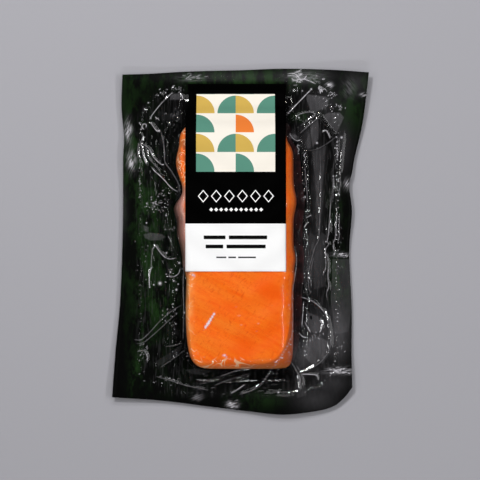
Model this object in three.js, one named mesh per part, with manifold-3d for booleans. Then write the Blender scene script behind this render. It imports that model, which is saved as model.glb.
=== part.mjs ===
// A vacuum pack of frozen king salmon, lying flat with its label up.
// A black backing film and a clear front film are sealed round their edges. Between them lies one
// skin-on portion of salmon. The air is drawn out, so both films hug the fish and crumple beside it.
// Millimetres, +Z up, +Y towards the label's upper edge. The origin is on the table under the middle.
import * as THREE from "three";
import { mergeVertices } from "three/addons/utils/BufferGeometryUtils.js";
import Module from "manifold-3d";

// ---- Driving dimensions -------------------------------------------------------------------------

const GAP = 0.3; // air kept between neighbouring pieces
const WEB = 0.6; // backing film, thicker than the real 0.15 so that it is a sound solid
const FILM = 0.7; // clear film, the same
const PAPER = 0.25; // label stock
const INK = 0.15; // a printed field, drawn as a thin panel
const BURY = 40; // how far a block runs on below the surface that will trim it

const POCKET_LIFT = 1.8; // the films rise this much off the table beside the fish
const POCKET_REACH = 22; // and reach that height this far from it
const SEAL_LIFT = 0.8; // the flat sealed rim stands a little above the crumpled pocket

// The pack's edges as seen from above, each through as few points as its bend needs: y over x for the
// top and bottom, x over y for the sides.
const EDGES = {
  top: through([-78, 110.2], [-60, 110.8], [-40, 112.1], [-20, 112.8], [0, 113.2], [28, 114.2], [60, 113.4], [85.3, 111.6]),
  bottom: through(
    [-84.6, -103.5], [-50, -106], [-20, -109.8], [5, -112.8], [28, -115], [45, -113.6], [57, -111.4], [64, -108.4],
    [70, -102.8], [74.3, -97],
  ),
  left: through([-103.5, -84.6], [-75, -82.6], [-40, -79.4], [10, -77.6], [55, -77.3], [68, -76.7], [88, -78.4], [110.2, -77.8]),
  right: through(
    [-97, 74.3], [-75, 73.9], [-45, 74], [-10, 72.4], [0, 72.7], [20, 74.1], [37.6, 72.3], [45, 74.2], [54, 75.7],
    [73, 80.2], [84, 82.1], [111.6, 85.3],
  ),
};

// Where the rim leaves the table: place, rise and spread of each curl.
const CURLS = [
  { x: 86, y: 112, rise: 3.6, spread: 34 },
  { x: 78, y: 30, rise: 2.6, spread: 20 },
  { x: -80, y: 112, rise: 1.8, spread: 26 },
  { x: -80, y: 58, rise: 1.6, spread: 15 },
  { x: -86, y: -104, rise: 2, spread: 28 },
  { x: 30, y: -116, rise: 1.8, spread: 22 },
  { x: 76, y: -92, rise: 2.4, spread: 18 },
];

// The sealed pocket, a rounded rectangle inside the rim.
const POCKET = { left: -66.5, right: 65, top: 101, bottom: -101, corner: 27 };

// The portion of salmon: a blunt slab, thinner towards its head end, with uneven flanks.
const FISH = {
  x: 0.2,
  y: -2.6,
  halfWidth: 35,
  halfLength: 81.7,
  blunt: { head: 14, tailLeft: 6, tailRight: 14 }, // the higher this power, the squarer the corner
  flank: 0.42, // height of the upright flank, as a share of the thickness
  top: 22,
  headThinning: 0.22,
  shoulder: { left: 7, right: 10, head: 14, tail: 8 },
};
const END_SHARE = 0.9985; // the fish's grid stops just short of the point where its ends close
const FISH_BULGES = [
  { side: -1, y: 52, out: 7.3, spread: 14.5 },
  { side: -1, y: 71, out: 3, spread: 7 },
  { side: -1, y: 22, out: 5.5, spread: 9 },
  { side: -1, y: 5, out: 3.5, spread: 10 },
  { side: 1, y: 68, out: -4, spread: 6 },
  { side: 1, y: 26, out: 2, spread: 8 },
  { side: 1, y: -12, out: 1.4, spread: 6 },
  { side: 1, y: -24, out: 1, spread: 4 },
];
const SKIN = { bottom: WEB + GAP, thickness: 1, showsRight: 6.2, showsLeft: 0.4 };
const SKIN_TOP = SKIN.bottom + SKIN.thickness;
const FISH_BOTTOM = SKIN_TOP + GAP;

// How far the clear film stands off the fish's foot: close at the flanks, a long ramp at the head end.
const SKIRT = { side: 7, head: 18, tail: 8 };
const HUG = 2.5; // the film's shoulder lies this far outside the fish's
const BRIDGE = { from: 64, to: 101, rise: 17.5, beside: 5 }; // the label's ramp down from the head end
const SKIN_COVER = { from: 6.5, reach: 4 }; // where the film comes down off the skin's edge

const LABEL = { left: -35.6, right: 30.1, bottom: -19.8, top: 104.6 };
const BLACK_FIELD = { bottom: 11.3 };
const PICTURE = { left: -28.5, right: 22.9, bottom: 45.2, top: 97.6 };

// The folds that the crumpled film shows, each a crest line with its height and half-width.
const FOLDS = [
  { name: "arch", height: 2.6, width: 3.2, line: [[-45, 99], [-55, 89], [-59.5, 79.5], [-52.8, 72.6]] },
  { name: "left_stay", height: 2.4, width: 3, line: [[-52, 72.6], [-49.5, 56], [-45.5, 44], [-39.8, 34]] },
  { name: "leaf_upper", height: 2.6, width: 2.8, line: [[-65.3, 66], [-58.7, 57], [-54, 52], [-49.5, 51.5]] },
  { name: "leaf_lower", height: 3, width: 3, line: [[-65.3, 66], [-60, 50], [-50, 39.6], [-40, 33]] },
  { name: "left_bumps", height: 1.8, width: 4.5, line: [[-62, 24], [-54, 21], [-48, 26]] },
  { name: "left_patch", height: 1.6, width: 6, line: [[-63, 6], [-54, 3.5], [-46, 0]] },
  { name: "cup_rim", height: 2.6, width: 3, line: [[-58.4, -4.6], [-54, -5.5], [-50, -11], [-42, -11.5]] },
  { name: "left_ridge", height: 3, width: 3, line: [[-58.2, -5], [-58.8, -18], [-60, -30], [-61, -40]] },
  { name: "lower_cup", height: 2, width: 3, line: [[-49, -23], [-44, -24.5], [-39.5, -19]] },
  { name: "tuck", height: 3.2, width: 3, line: [[-69, -65.5], [-60, -60.5], [-50, -50], [-38.5, -42]] },
  { name: "corner_loop", height: 2, width: 3, line: [[-67, -73], [-62.5, -73], [-61, -80]] },
  { name: "corner_rib", height: 2.2, width: 3.4, line: [[-56, -85], [-47, -79], [-37, -71]] },
  { name: "left_hem", height: 2.2, width: 3, line: [[-55, -90], [-40, -95], [-21, -99]] },
  { name: "tail_rib", height: 2.4, width: 3, line: [[-18, -92], [-6, -87], [10, -83.5]] },
  { name: "tail_sweep", height: 3, width: 2.8, line: [[-1, -101.5], [14, -95], [22, -84], [29.5, -71]] },
  { name: "right_hem", height: 2.4, width: 3.4, line: [[4, -104], [28, -104], [44, -97], [57, -87]] },
  { name: "tail_post", height: 2.2, width: 2.8, line: [[34.5, -81], [38, -88], [39.6, -99]] },
  { name: "bubble_outer", height: 3, width: 3, line: [[41.6, -37], [53.5, -46], [58.4, -60], [58, -74], [50, -86]] },
  { name: "bubble_inner", height: 2.6, width: 2.6, line: [[42.2, -40], [41, -56], [44, -66], [41, -74]] },
  { name: "long_pleat", height: 3.2, width: 3.6, line: [[53, 60], [53.5, 27], [52, 2], [46.5, -14], [46, -36]] },
  { name: "outer_pleat", height: 2.6, width: 2.6, line: [[65, 70], [61.4, 38], [60.5, 10], [57.4, -6], [59, -38]] },
  { name: "rim_pleat", height: 2, width: 2.2, line: [[69, 73], [66, 40], [64, 0], [62.5, -40]] },
  { name: "right_bumps", height: 2, width: 3.6, line: [[43.5, 47], [45, 27], [42, 12]] },
  { name: "star_head", height: 2.6, width: 2.8, line: [[30.5, 83], [39, 94], [46, 99.5]] },
  { name: "star_long", height: 3, width: 3, line: [[38, 69], [45, 76], [52.5, 83], [58, 86.5]] },
  { name: "star_right", height: 2.6, width: 2.8, line: [[52.5, 83], [57.5, 77], [64, 70]] },
  { name: "star_foot", height: 2.4, width: 2.8, line: [[64, 69], [56, 63.5], [45, 60]] },
  { name: "head_crinkle", height: 1.8, width: 3, line: [[33, 104], [44, 107], [56, 103]] },
];

// Grid cells across each band of a piece: rim and pocket, skirt, fish, skirt, pocket and rim. The clear
// film carries the folds, so it is the finest.
const FILM_CELLS = { x: [14, 3, 9, 3, 13], y: [9, 2, 44, 5, 7] };
const WEB_CELLS = { x: [5, 1, 6, 1, 5], y: [4, 1, 14, 2, 3] };
const FISH_CELLS = { x: 16, y: 30 };

// ---- Small helpers ------------------------------------------------------------------------------

function spline(points) {
  return new THREE.SplineCurve(points.map(([x, y]) => new THREE.Vector2(x, y)));
}

// A smooth function through [t, value] points. Each slope is that of the chord between its neighbours.
function through(...points) {
  const last = points.length - 1;
  const slope = (i) => {
    const [a, b] = [points[Math.max(i - 1, 0)], points[Math.min(i + 1, last)]];
    return (b[1] - a[1]) / (b[0] - a[0]);
  };
  return (t) => {
    let i = 0;
    while (i < last - 1 && t > points[i + 1][0]) i++;
    const [[t0, p0], [t1, p1]] = [points[i], points[i + 1]];
    const span = t1 - t0;
    const s = (t - t0) / span;
    const bend = s * (1 - s);
    return p0 + (p1 - p0) * s * s * (3 - 2 * s) + span * bend * (slope(i) * (1 - s) - slope(i + 1) * s);
  };
}

const clamp01 = (t) => Math.min(1, Math.max(0, t));
const ease = (t) => clamp01(t) ** 2 * (3 - 2 * clamp01(t));
const bell = (distance, spread) => Math.exp(-((distance / spread) ** 2));
const sum = (values) => values.reduce((a, b) => a + b, 0);

// Where line number `index` falls among stops that bound bands of `cells` cells each.
function bandPosition(stops, cells, index) {
  let band = 0;
  let done = 0;
  while (band < cells.length - 1 && index >= done + cells[band]) done += cells[band++];
  const share = (index - done) / cells[band];
  return stops[band] + (stops[band + 1] - stops[band]) * share;
}

// A point of a grid fitted to the pack: its outer lines are the pack's edges, and inner ones follow the
// fish's flanks and ends. Column and row may run past the edge, which carries the grid straight on.
function packPoint(cells, column, row) {
  const head = FISH.y + FISH.halfLength;
  const tail = FISH.y - FISH.halfLength;
  let [x, y] = [0, 0];
  for (let pass = 0; pass < 6; pass++) {
    const rows = [EDGES.bottom(x), tail - SKIRT.tail, tail + HUG, head - HUG, head + SKIRT.head, EDGES.top(x)];
    y = bandPosition(rows, cells.y, row);
    const [left, right] = [FISH.x - fishFlank(-1, y), FISH.x + fishFlank(1, y)];
    const columns = [EDGES.left(y), left - SKIRT.side, left + HUG, right - HUG, right + SKIRT.side, EDGES.right(y)];
    x = bandPosition(columns, cells.x, column);
  }
  return [x, y];
}

// A closed slab whose top and bottom are the same grid, moved by place(column, row, isTop) and joined
// round the border. Both faces split their cells along the same diagonal, so stacked slabs never cross.
function slab(cellsX, cellsY, place) {
  const grid = new THREE.PlaneGeometry(1, 1, cellsX, cellsY);
  const flat = grid.getAttribute("position");
  const count = flat.count;
  const corners = new Float32Array(6 * count);
  for (let i = 0; i < count; i++) {
    const column = Math.round((flat.getX(i) + 0.5) * cellsX);
    const row = Math.round((flat.getY(i) + 0.5) * cellsY);
    corners.set(place(column, row, true), 3 * i);
    corners.set(place(column, row, false), 3 * (count + i));
  }
  const faces = [...grid.index.array];
  for (let i = 0; i < grid.index.count; i += 3) {
    const [a, b, c] = [0, 1, 2].map((k) => grid.index.getX(i + k) + count);
    faces.push(c, b, a);
  }
  const border = borderLoop(cellsX, cellsY);
  border.forEach((p, i) => {
    const q = border[(i + 1) % border.length];
    faces.push(p + count, q + count, q, p + count, q, p);
  });
  const geometry = new THREE.BufferGeometry();
  geometry.setAttribute("position", new THREE.BufferAttribute(corners, 3));
  geometry.setIndex(faces);
  geometry.computeVertexNormals();
  return geometry;
}

// The grid's border vertices, anticlockwise from its lower left corner.
function borderLoop(cellsX, cellsY) {
  const at = (ix, iy) => ix + (cellsX + 1) * iy;
  const loop = [];
  for (let ix = 0; ix < cellsX; ix++) loop.push(at(ix, cellsY));
  for (let iy = cellsY; iy > 0; iy--) loop.push(at(cellsX, iy));
  for (let ix = cellsX; ix > 0; ix--) loop.push(at(ix, 0));
  for (let iy = 0; iy < cellsY; iy++) loop.push(at(0, iy));
  return loop;
}

// ---- Forms, each a height or a distance over the table plane --------------------------------------

// Signed distance to the pocket's rounded rectangle, positive outside it.
function pocketDistance(x, y) {
  const [cx, cy] = [(POCKET.left + POCKET.right) / 2, (POCKET.top + POCKET.bottom) / 2];
  const qx = Math.abs(x - cx) - (POCKET.right - POCKET.left) / 2 + POCKET.corner;
  const qy = Math.abs(y - cy) - (POCKET.top - POCKET.bottom) / 2 + POCKET.corner;
  return Math.hypot(Math.max(qx, 0), Math.max(qy, 0)) + Math.min(Math.max(qx, qy), 0) - POCKET.corner;
}

// How far a flank of the fish bulges out at y. side is -1 for the left and 1 for the right.
function flankBulge(side, y) {
  return FISH_BULGES.filter((b) => b.side === side).reduce((sum, b) => sum + b.out * bell(y - b.y, b.spread), 0);
}

// The fish's half-width on one side at y, carried straight on past its ends.
function fishFlank(side, y) {
  return FISH.halfWidth + flankBulge(side, y);
}

// The same, closing in a blunt curve at both ends.
function fishHalfWidth(side, y) {
  const along = clamp01(Math.abs(y - FISH.y) / FISH.halfLength);
  const tail = side < 0 ? FISH.blunt.tailLeft : FISH.blunt.tailRight;
  const blunt = y > FISH.y ? FISH.blunt.head : tail;
  return fishFlank(side, y) * (1 - along ** blunt) ** (1 / blunt);
}

// Rough distance outside the fish's foot, negative inside it.
function fishDistance(x, y) {
  const side = x < FISH.x ? -1 : 1;
  const across = Math.abs(x - FISH.x) - fishFlank(side, y);
  const along = Math.abs(y - FISH.y) - FISH.halfLength;
  const corner = 12;
  const [qx, qy] = [across + corner, along + corner];
  return Math.hypot(Math.max(qx, 0), Math.max(qy, 0)) + Math.min(Math.max(qx, qy), 0) - corner;
}

// A quarter-round from the top of the upright flank to the fish's full height.
function shoulder(inward, radius) {
  const t = clamp01(inward / radius);
  return FISH.flank + (1 - FISH.flank) * Math.sqrt(1 - (1 - t) ** 2);
}

// Height of the fish's upper face. It sags towards its left side and its head end, and muscle bands
// ripple it.
function fishTop(x, y) {
  const { shoulder: s } = FISH;
  const form =
    shoulder(fishHalfWidth(-1, y) + (x - FISH.x), s.left) *
    shoulder(fishHalfWidth(1, y) - (x - FISH.x), s.right) *
    shoulder(FISH.halfLength - (y - FISH.y), s.head) *
    shoulder(FISH.halfLength + (y - FISH.y), s.tail);
  const thin = 1 - 0.08 * ease((FISH.x - x) / FISH.halfWidth) - FISH.headThinning * ease((y - 20) / 62);
  const bands = 0.35 * Math.sin((y - 0.6 * Math.abs(x - 6)) / 3.4) * ease((form - 0.6) / 0.4);
  return FISH_BOTTOM + (FISH.top - FISH_BOTTOM) * form * thin + bands;
}

// Underside of the backing film: flat on the table below the fish, then rising to the curled rim.
function webBottom(x, y) {
  const pocket = POCKET_LIFT * ease((fishDistance(x, y) - 3) / POCKET_REACH);
  const rim = ease(pocketDistance(x, y) / 5 + 0.5);
  const curl = CURLS.reduce((sum, c) => sum + c.rise * bell(Math.hypot(x - c.x, y - c.y), c.spread), 0);
  return pocket + SEAL_LIFT * rim + curl * ease((fishDistance(x, y) - 6) / 20);
}

// Height of a fold's crest above its foot at (x, y): a sharp ridge that dies out at both ends.
const crests = FOLDS.map((fold) => ({ ...fold, points: spline(fold.line).getPoints(24) }));
function foldHeight(x, y) {
  let height = 0;
  for (const { points, width, height: crest } of crests) {
    const near = Math.min(...points.map((p) => Math.hypot(x - p.x, y - p.y)));
    height = Math.max(height, crest * Math.exp(-((near / width) ** 1.5)));
  }
  return height;
}

// 1 where the label covers the film, falling to 0 just past its edge. The film is smooth there.
function underLabel(x, y) {
  const past = Math.max(LABEL.left - x, x - LABEL.right, LABEL.bottom - y, y - LABEL.top, 0);
  return 1 - ease(past / 4);
}

// The fish's upper face grown by HUG, so that the film's coarser facets clear its shoulders.
function grownFishTop(x, y) {
  const pull = (from, centre) => centre + Math.sign(from - centre) * Math.max(Math.abs(from - centre) - HUG, 0);
  const inY = THREE.MathUtils.clamp(pull(y, FISH.y), FISH.y - FISH.halfLength + HUG, FISH.y + FISH.halfLength - HUG);
  const [left, right] = [FISH.x - fishHalfWidth(-1, inY) + HUG, FISH.x + fishHalfWidth(1, inY) - HUG];
  return fishTop(THREE.MathUtils.clamp(pull(x, FISH.x), left, right), inY);
}

// The label stiffens the film, so past the head end both run down in one smooth ramp.
function bridge(x, y) {
  const past = Math.max(LABEL.left - x, x - LABEL.right, 0);
  const along = ease((y - BRIDGE.from + 10) / 10) * (1 - ease((y - BRIDGE.from) / (BRIDGE.to - BRIDGE.from)));
  return BRIDGE.rise * along * (1 - ease(past / BRIDGE.beside));
}

// Upper face of the clear film without its folds: over the fish, down its skirt, then on the backing.
function drape(x, y) {
  const out = fishDistance(x, y);
  const overSkin = (SKIN_TOP - WEB) * (1 - ease((out - SKIN_COVER.from) / SKIN_COVER.reach));
  const flat = webBottom(x, y) + WEB + GAP + FILM + overSkin;
  const reach = y > FISH.y ? SKIRT.head : SKIRT.tail;
  const atEnd = ease((Math.abs(y - FISH.y) - FISH.halfLength + 14) / 14);
  const skirt = SKIRT.side + (reach - SKIRT.side) * atEnd;
  const fall = 1 - ease(out / skirt + 0.1);
  const onFish = Math.max(grownFishTop(x, y) + GAP + FILM, flat);
  const hung = out < 0 ? onFish : flat + (onFish - flat) * Math.min(fall / (1 - ease(0.1)), 1);
  return Math.max(hung, flat + bridge(x, y));
}

function filmTop(x, y) {
  const inPocket = 1 - ease(pocketDistance(x, y) / 6);
  const beside = ease(fishDistance(x, y) / 7 + 0.3);
  return drape(x, y) + foldHeight(x, y) * (0.25 + 0.75 * inPocket) * beside * (1 - underLabel(x, y));
}

// ---- Solids ---------------------------------------------------------------------------------------

const wasm = await Module();
wasm.setup();

function solid(geometry) {
  const bare = geometry.clone();
  bare.deleteAttribute("normal");
  bare.deleteAttribute("uv");
  const merged = mergeVertices(bare, 1e-4);
  const mesh = new wasm.Mesh({
    numProp: 3,
    vertProperties: merged.getAttribute("position").array,
    triVerts: new Uint32Array(merged.index.array),
  });
  return new wasm.Manifold(mesh);
}

function geometryOf(manifold) {
  const mesh = manifold.getMesh();
  const geometry = new THREE.BufferGeometry();
  geometry.setAttribute("position", new THREE.BufferAttribute(mesh.vertProperties, 3));
  geometry.setIndex(new THREE.BufferAttribute(mesh.triVerts, 1));
  geometry.computeVertexNormals();
  return geometry;
}

// A point of the backing film's upper face, on its own grid.
function webPoint(column, row) {
  const [x, y] = packPoint(WEB_CELLS, column, row);
  return new THREE.Vector3(x, y, webBottom(x, y) + WEB);
}

// The black backing film, one thin sheet out to the sealed edge.
function backingWeb() {
  return slab(sum(WEB_CELLS.x), sum(WEB_CELLS.y), (column, row, isTop) => {
    const { x, y, z } = webPoint(column, row);
    return [x, y, isTop ? z : z - WEB];
  });
}

// The same facets with the outermost ones run on past the edge, so that they can trim the clear film.
function webOverrun(column, row) {
  const runOn = 0.3;
  const inner = (index, cells) => THREE.MathUtils.clamp(index, 1, sum(cells) - 1);
  const here = webPoint(column, row);
  const across = here.clone().sub(webPoint(inner(column, WEB_CELLS.x), row));
  const along = here.clone().sub(webPoint(column, inner(row, WEB_CELLS.y)));
  return here.addScaledVector(across, runOn).addScaledVector(along, runOn);
}

// The fish as a block of grid cells bunched towards its edges, grown by `grow` on every side.
function fishBlock(grow, floor) {
  const bunch = (index, cells) => Math.sin((index / cells - 0.5) * Math.PI);
  return slab(FISH_CELLS.x, FISH_CELLS.y, (column, row, isTop) => {
    const [s, t] = [bunch(column, FISH_CELLS.x), bunch(row, FISH_CELLS.y)];
    const y = FISH.y + FISH.halfLength * t * END_SHARE;
    const x = FISH.x + s * fishHalfWidth(Math.sign(s), y);
    return [x + grow * s, y + grow * t, isTop ? fishTop(x, y) + grow : floor];
  });
}

function salmonFlesh() {
  const block = solid(fishBlock(0, FISH_BOTTOM - BURY));
  const above = new THREE.BoxGeometry(300, 300, BURY).translate(0, 0, FISH_BOTTOM + BURY / 2);
  return geometryOf(block.intersect(solid(above)));
}

// The skin under the flesh, a plate grown by `grow` between two heights. It shows as a dark line past
// the flesh's right flank.
function skinPlate(grow, low, high) {
  const steps = 34;
  const flank = (side, shows) =>
    Array.from({ length: steps + 1 }, (_, i) => {
      const t = Math.sin((i / steps - 0.5) * Math.PI) * END_SHARE;
      const y = FISH.y + (FISH.halfLength + grow) * t;
      return new THREE.Vector2(FISH.x + side * (fishHalfWidth(side, y) + shows * (1 - t ** 4) + grow), y);
    });
  const outline = [...flank(1, SKIN.showsRight), ...flank(-1, SKIN.showsLeft).reverse()];
  const plate = new THREE.ExtrudeGeometry(new THREE.Shape(outline), { depth: high - low, bevelEnabled: false });
  return plate.translate(0, 0, low);
}

// A thin sheet that rides on the film over a grid of x and y lines, raised by `lift`.
function labelSheet(xs, ys, lift, thickness) {
  return slab(xs.length - 1, ys.length - 1, (column, row, isTop) => {
    const [x, y] = [xs[column], ys[row]];
    return [x, y, drape(x, y) + lift + (isTop ? thickness : 0)];
  });
}

// Evenly spaced lines from each stop to the next, so that every field's edge falls on a line.
function lines(stops, counts) {
  return stops.slice(1).reduce(
    (all, stop, i) => {
      const from = stops[i];
      for (let k = 1; k <= counts[i]; k++) all.push(from + ((stop - from) * k) / counts[i]);
      return all;
    },
    [stops[0]],
  );
}

const labelX = lines([LABEL.left, PICTURE.left, PICTURE.right, LABEL.right], [1, 4, 1]);
const labelY = lines([LABEL.bottom, BLACK_FIELD.bottom, PICTURE.bottom, PICTURE.top, LABEL.top], [3, 3, 11, 2]);
const between = (all, low, high) => all.filter((value) => value >= low - 1e-6 && value <= high + 1e-6);
const LABEL_LIFT = 1.1; // clears the coarse facets of the film below
const FIELD_LIFT = LABEL_LIFT + PAPER + 0.1;
const PICTURE_LIFT = FIELD_LIFT + INK + 0.1;

// The clear film fills from the backing's upper face to its own folded face. The fish and the label
// are then cut clear of it.
function frontFilm() {
  const block = slab(sum(FILM_CELLS.x), sum(FILM_CELLS.y), (column, row, isTop) => {
    const [x, y] = packPoint(FILM_CELLS, column, row);
    return [x, y, isTop ? filmTop(x, y) : -BURY];
  });
  const below = slab(sum(WEB_CELLS.x), sum(WEB_CELLS.y), (column, row, isTop) => {
    const { x, y, z } = webOverrun(column, row);
    return [x, y, isTop ? z + GAP : -2 * BURY];
  });
  const rooms = [
    below,
    fishBlock(GAP, -BURY),
    skinPlate(GAP, -BURY, SKIN_TOP + GAP),
    labelSheet(labelX, labelY, LABEL_LIFT - GAP, BURY),
  ];
  return geometryOf(rooms.reduce((film, room) => film.subtract(solid(room)), solid(block)));
}

// ---- The pack -------------------------------------------------------------------------------------

const materials = {
  backing: new THREE.MeshStandardMaterial({ color: 0x101a11, roughness: 0.3, metalness: 0 }),
  film: new THREE.MeshStandardMaterial({ color: 0xd8dcdc, roughness: 0.08, metalness: 0, transparent: true, opacity: 0.3 }),
  flesh: new THREE.MeshStandardMaterial({ color: 0xf97218, roughness: 0.5, metalness: 0 }),
  skin: new THREE.MeshStandardMaterial({ color: 0x3b2226, roughness: 0.45, metalness: 0 }),
  paper: new THREE.MeshStandardMaterial({ color: 0xfbfbf8, roughness: 0.6, metalness: 0 }),
  black: new THREE.MeshStandardMaterial({ color: 0x050505, roughness: 0.6, metalness: 0 }),
  picture: new THREE.MeshStandardMaterial({ color: 0xfbf4e8, roughness: 0.6, metalness: 0 }),
};

const pack = new THREE.Group();

function add(name, geometry, material) {
  const mesh = new THREE.Mesh(geometry, material);
  mesh.name = name;
  pack.add(mesh);
}

add("backing_film", backingWeb(), materials.backing);
add("salmon_skin", skinPlate(0, SKIN.bottom, SKIN_TOP), materials.skin);
add("salmon_flesh", salmonFlesh(), materials.flesh);
add("front_film", frontFilm(), materials.film);
add("label", labelSheet(labelX, labelY, LABEL_LIFT, PAPER), materials.paper);
add(
  "label_black_field",
  labelSheet(labelX, between(labelY, BLACK_FIELD.bottom, LABEL.top), FIELD_LIFT, INK),
  materials.black,
);
add(
  "label_picture_field",
  labelSheet(
    between(labelX, PICTURE.left, PICTURE.right),
    between(labelY, PICTURE.bottom, PICTURE.top),
    PICTURE_LIFT,
    INK,
  ),
  materials.picture,
);

export default pack;
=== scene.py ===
# %% [markdown]
# # A vacuum pack of frozen salmon
# The pack lies flat with its label up. A black-green laminate and a clear film are sealed round their
# edges, and one skin-on portion of salmon is trapped between them. The air was drawn out, so both films
# cling to the fish, and the spare film beside it is crumpled into sharp folds. Each cell below makes one
# piece or one finish, in the order in which a packer would put the pack together.

# %% Load the fixed frame
import math

import bmesh
import bpy
import numpy as np
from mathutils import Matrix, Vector, noise


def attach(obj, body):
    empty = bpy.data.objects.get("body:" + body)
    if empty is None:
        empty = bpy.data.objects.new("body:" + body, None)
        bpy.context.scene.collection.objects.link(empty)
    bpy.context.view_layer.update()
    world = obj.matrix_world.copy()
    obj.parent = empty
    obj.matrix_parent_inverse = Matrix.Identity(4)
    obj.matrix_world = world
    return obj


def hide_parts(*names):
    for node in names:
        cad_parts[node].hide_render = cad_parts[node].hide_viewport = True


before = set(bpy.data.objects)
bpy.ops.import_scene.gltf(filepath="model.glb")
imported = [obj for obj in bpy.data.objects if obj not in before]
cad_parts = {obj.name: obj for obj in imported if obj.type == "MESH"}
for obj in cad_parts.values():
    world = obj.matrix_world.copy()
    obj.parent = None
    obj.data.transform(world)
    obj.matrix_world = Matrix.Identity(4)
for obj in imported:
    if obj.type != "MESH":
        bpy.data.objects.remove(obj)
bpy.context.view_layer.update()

print("nodes:", ", ".join(sorted(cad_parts)))

# %% [markdown]
# ## Small helpers
# Sizes are in millimetres, as on a drawing, and turn to metres only when a mesh is stored. Colours are
# written as a colour picker shows them, and one function turns them to the linear values that a renderer
# adds and multiplies. A shader is a small graph, so one function adds a node, sets it and links it.

# %% Units, colours and shader nodes
MM = 0.001


def linear(hex_colour):
    """A colour picker's value with the sRGB curve undone: linear red, green and blue, and opaque."""
    channels = [int(hex_colour[i : i + 2], 16) / 255 for i in (1, 3, 5)]
    return tuple(c / 12.92 if c <= 0.04045 else ((c + 0.055) / 1.055) ** 2.4 for c in channels) + (1.0,)


def add(material, kind, inputs=None, **settings):
    """Adds a shader node. An input is a value, an output socket, or a node whose first output is linked."""
    node = material.node_tree.nodes.new(kind)
    for name, value in settings.items():
        setattr(node, name, value)
    for socket, value in (inputs or {}).items():
        if isinstance(value, bpy.types.Node):
            value = value.outputs[0]
        if isinstance(value, bpy.types.NodeSocket):
            material.node_tree.links.new(value, node.inputs[socket])
        else:
            node.inputs[socket].default_value = value
    return node


def new_material(name):
    material = bpy.data.materials.new(name)
    material.use_nodes = True
    material.node_tree.nodes.clear()
    return material


def finish(material, shader):
    add(material, "ShaderNodeOutputMaterial", {"Surface": shader})
    return material


print("white is", linear("#FFFFFF"))

# %% [markdown]
# ## The pack's plan
# A drawing of the pack seen from above comes first: its four cut edges, the sealed pocket inside them and
# the fish inside that. An edge could be a Bezier curve object. Here it is a smooth function through a few
# points, because the films need to know where the edge is at any height or width.

# %% Cut edges
def through(*points):
    """A smooth function through (t, value) points, which also takes arrays."""
    knots, values = np.array(points, dtype=float).T
    slopes = np.empty(len(knots))
    slopes[1:-1] = (values[2:] - values[:-2]) / (knots[2:] - knots[:-2])
    slopes[0] = (values[1] - values[0]) / (knots[1] - knots[0])
    slopes[-1] = (values[-1] - values[-2]) / (knots[-1] - knots[-2])

    def value(t):
        i = np.clip(np.searchsorted(knots, t) - 1, 0, len(knots) - 2)
        span = knots[i + 1] - knots[i]
        s = (t - knots[i]) / span
        ramp = s * s * (3 - 2 * s)
        bend = span * s * (1 - s) * (slopes[i] * (1 - s) - slopes[i + 1] * s)
        return values[i] + (values[i + 1] - values[i]) * ramp + bend

    return value


top_edge = through(
    (-78, 110.2), (-60, 110.8), (-40, 112.1), (-20, 112.8), (0, 113.2), (28, 114.2), (60, 113.4),
    (85.3, 111.6),
)
bottom_edge = through(
    (-84.6, -103.5), (-50, -106), (-20, -109.8), (5, -112.8), (28, -115), (45, -113.6), (57, -111.4),
    (64, -108.4), (70, -102.8), (74.3, -97),
)
left_edge = through(
    (-103.5, -84.6), (-75, -82.6), (-40, -79.4), (10, -77.6), (55, -77.3), (68, -76.7), (88, -78.4),
    (110.2, -77.8),
)
right_edge = through(
    (-97, 74.3), (-75, 73.9), (-45, 74), (-10, 72.4), (0, 72.7), (20, 74.1), (37.6, 72.3), (45, 74.2),
    (54, 75.7), (73, 80.2), (84, 82.1), (111.6, 85.3),
)
print("pack width at the middle:", round(float(right_edge(0.0) - left_edge(0.0)), 1), "mm")

# %% Sealed pocket and fish
POCKET = {"left": -66.5, "right": 65, "top": 101, "bottom": -101, "corner": 27}
FISH_X, FISH_Y = 0.2, -2.6
HALF_WIDTH, HALF_LENGTH = 35, 81.7
FISH_CORNER = 12
# The higher, the squarer: how blunt each end is, on the left (-1) and on the right (1).
BLUNT_HEAD = {-1: 14, 1: 14}
BLUNT_TAIL = {-1: 8, 1: 14}
# How the flanks swell out: the middle's y, how far, and over what length.
BULGES = {
    -1: [(52, 7.4, 16.5), (71, 3, 7), (22, 5.5, 9), (5, 3.5, 10), (-48, 1.0, 28)],
    1: [(68, -4, 6), (26, 2, 8), (-12, 1.4, 6), (-24, 1, 4)],
}


def ease(t):
    """A smooth step from 0 to 1."""
    t = np.clip(t, 0, 1)
    return t * t * (3 - 2 * t)


def bell(distance, spread):
    """1 at no distance, and next to nothing at twice the spread."""
    return np.exp(-((distance / spread) ** 2))


def rounded_box_distance(x, y, half_x, half_y, corner):
    """Distance outside a rectangle with round corners, negative inside it."""
    qx, qy = np.abs(x) - half_x + corner, np.abs(y) - half_y + corner
    outside = np.hypot(np.maximum(qx, 0), np.maximum(qy, 0))
    return outside + np.minimum(np.maximum(qx, qy), 0) - corner


def pocket_distance(x, y):
    """Distance outside the seal's inner edge, negative in the pocket."""
    middle_x = (POCKET["left"] + POCKET["right"]) / 2
    middle_y = (POCKET["top"] + POCKET["bottom"]) / 2
    half_x = (POCKET["right"] - POCKET["left"]) / 2
    half_y = (POCKET["top"] - POCKET["bottom"]) / 2
    return rounded_box_distance(x - middle_x, y - middle_y, half_x, half_y, POCKET["corner"])


def fish_flank(side, y):
    """The fish's half-width on its left (-1) or right (1) at y."""
    return HALF_WIDTH + sum(out * bell(y - at, spread) for at, out, spread in BULGES[side])


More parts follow.
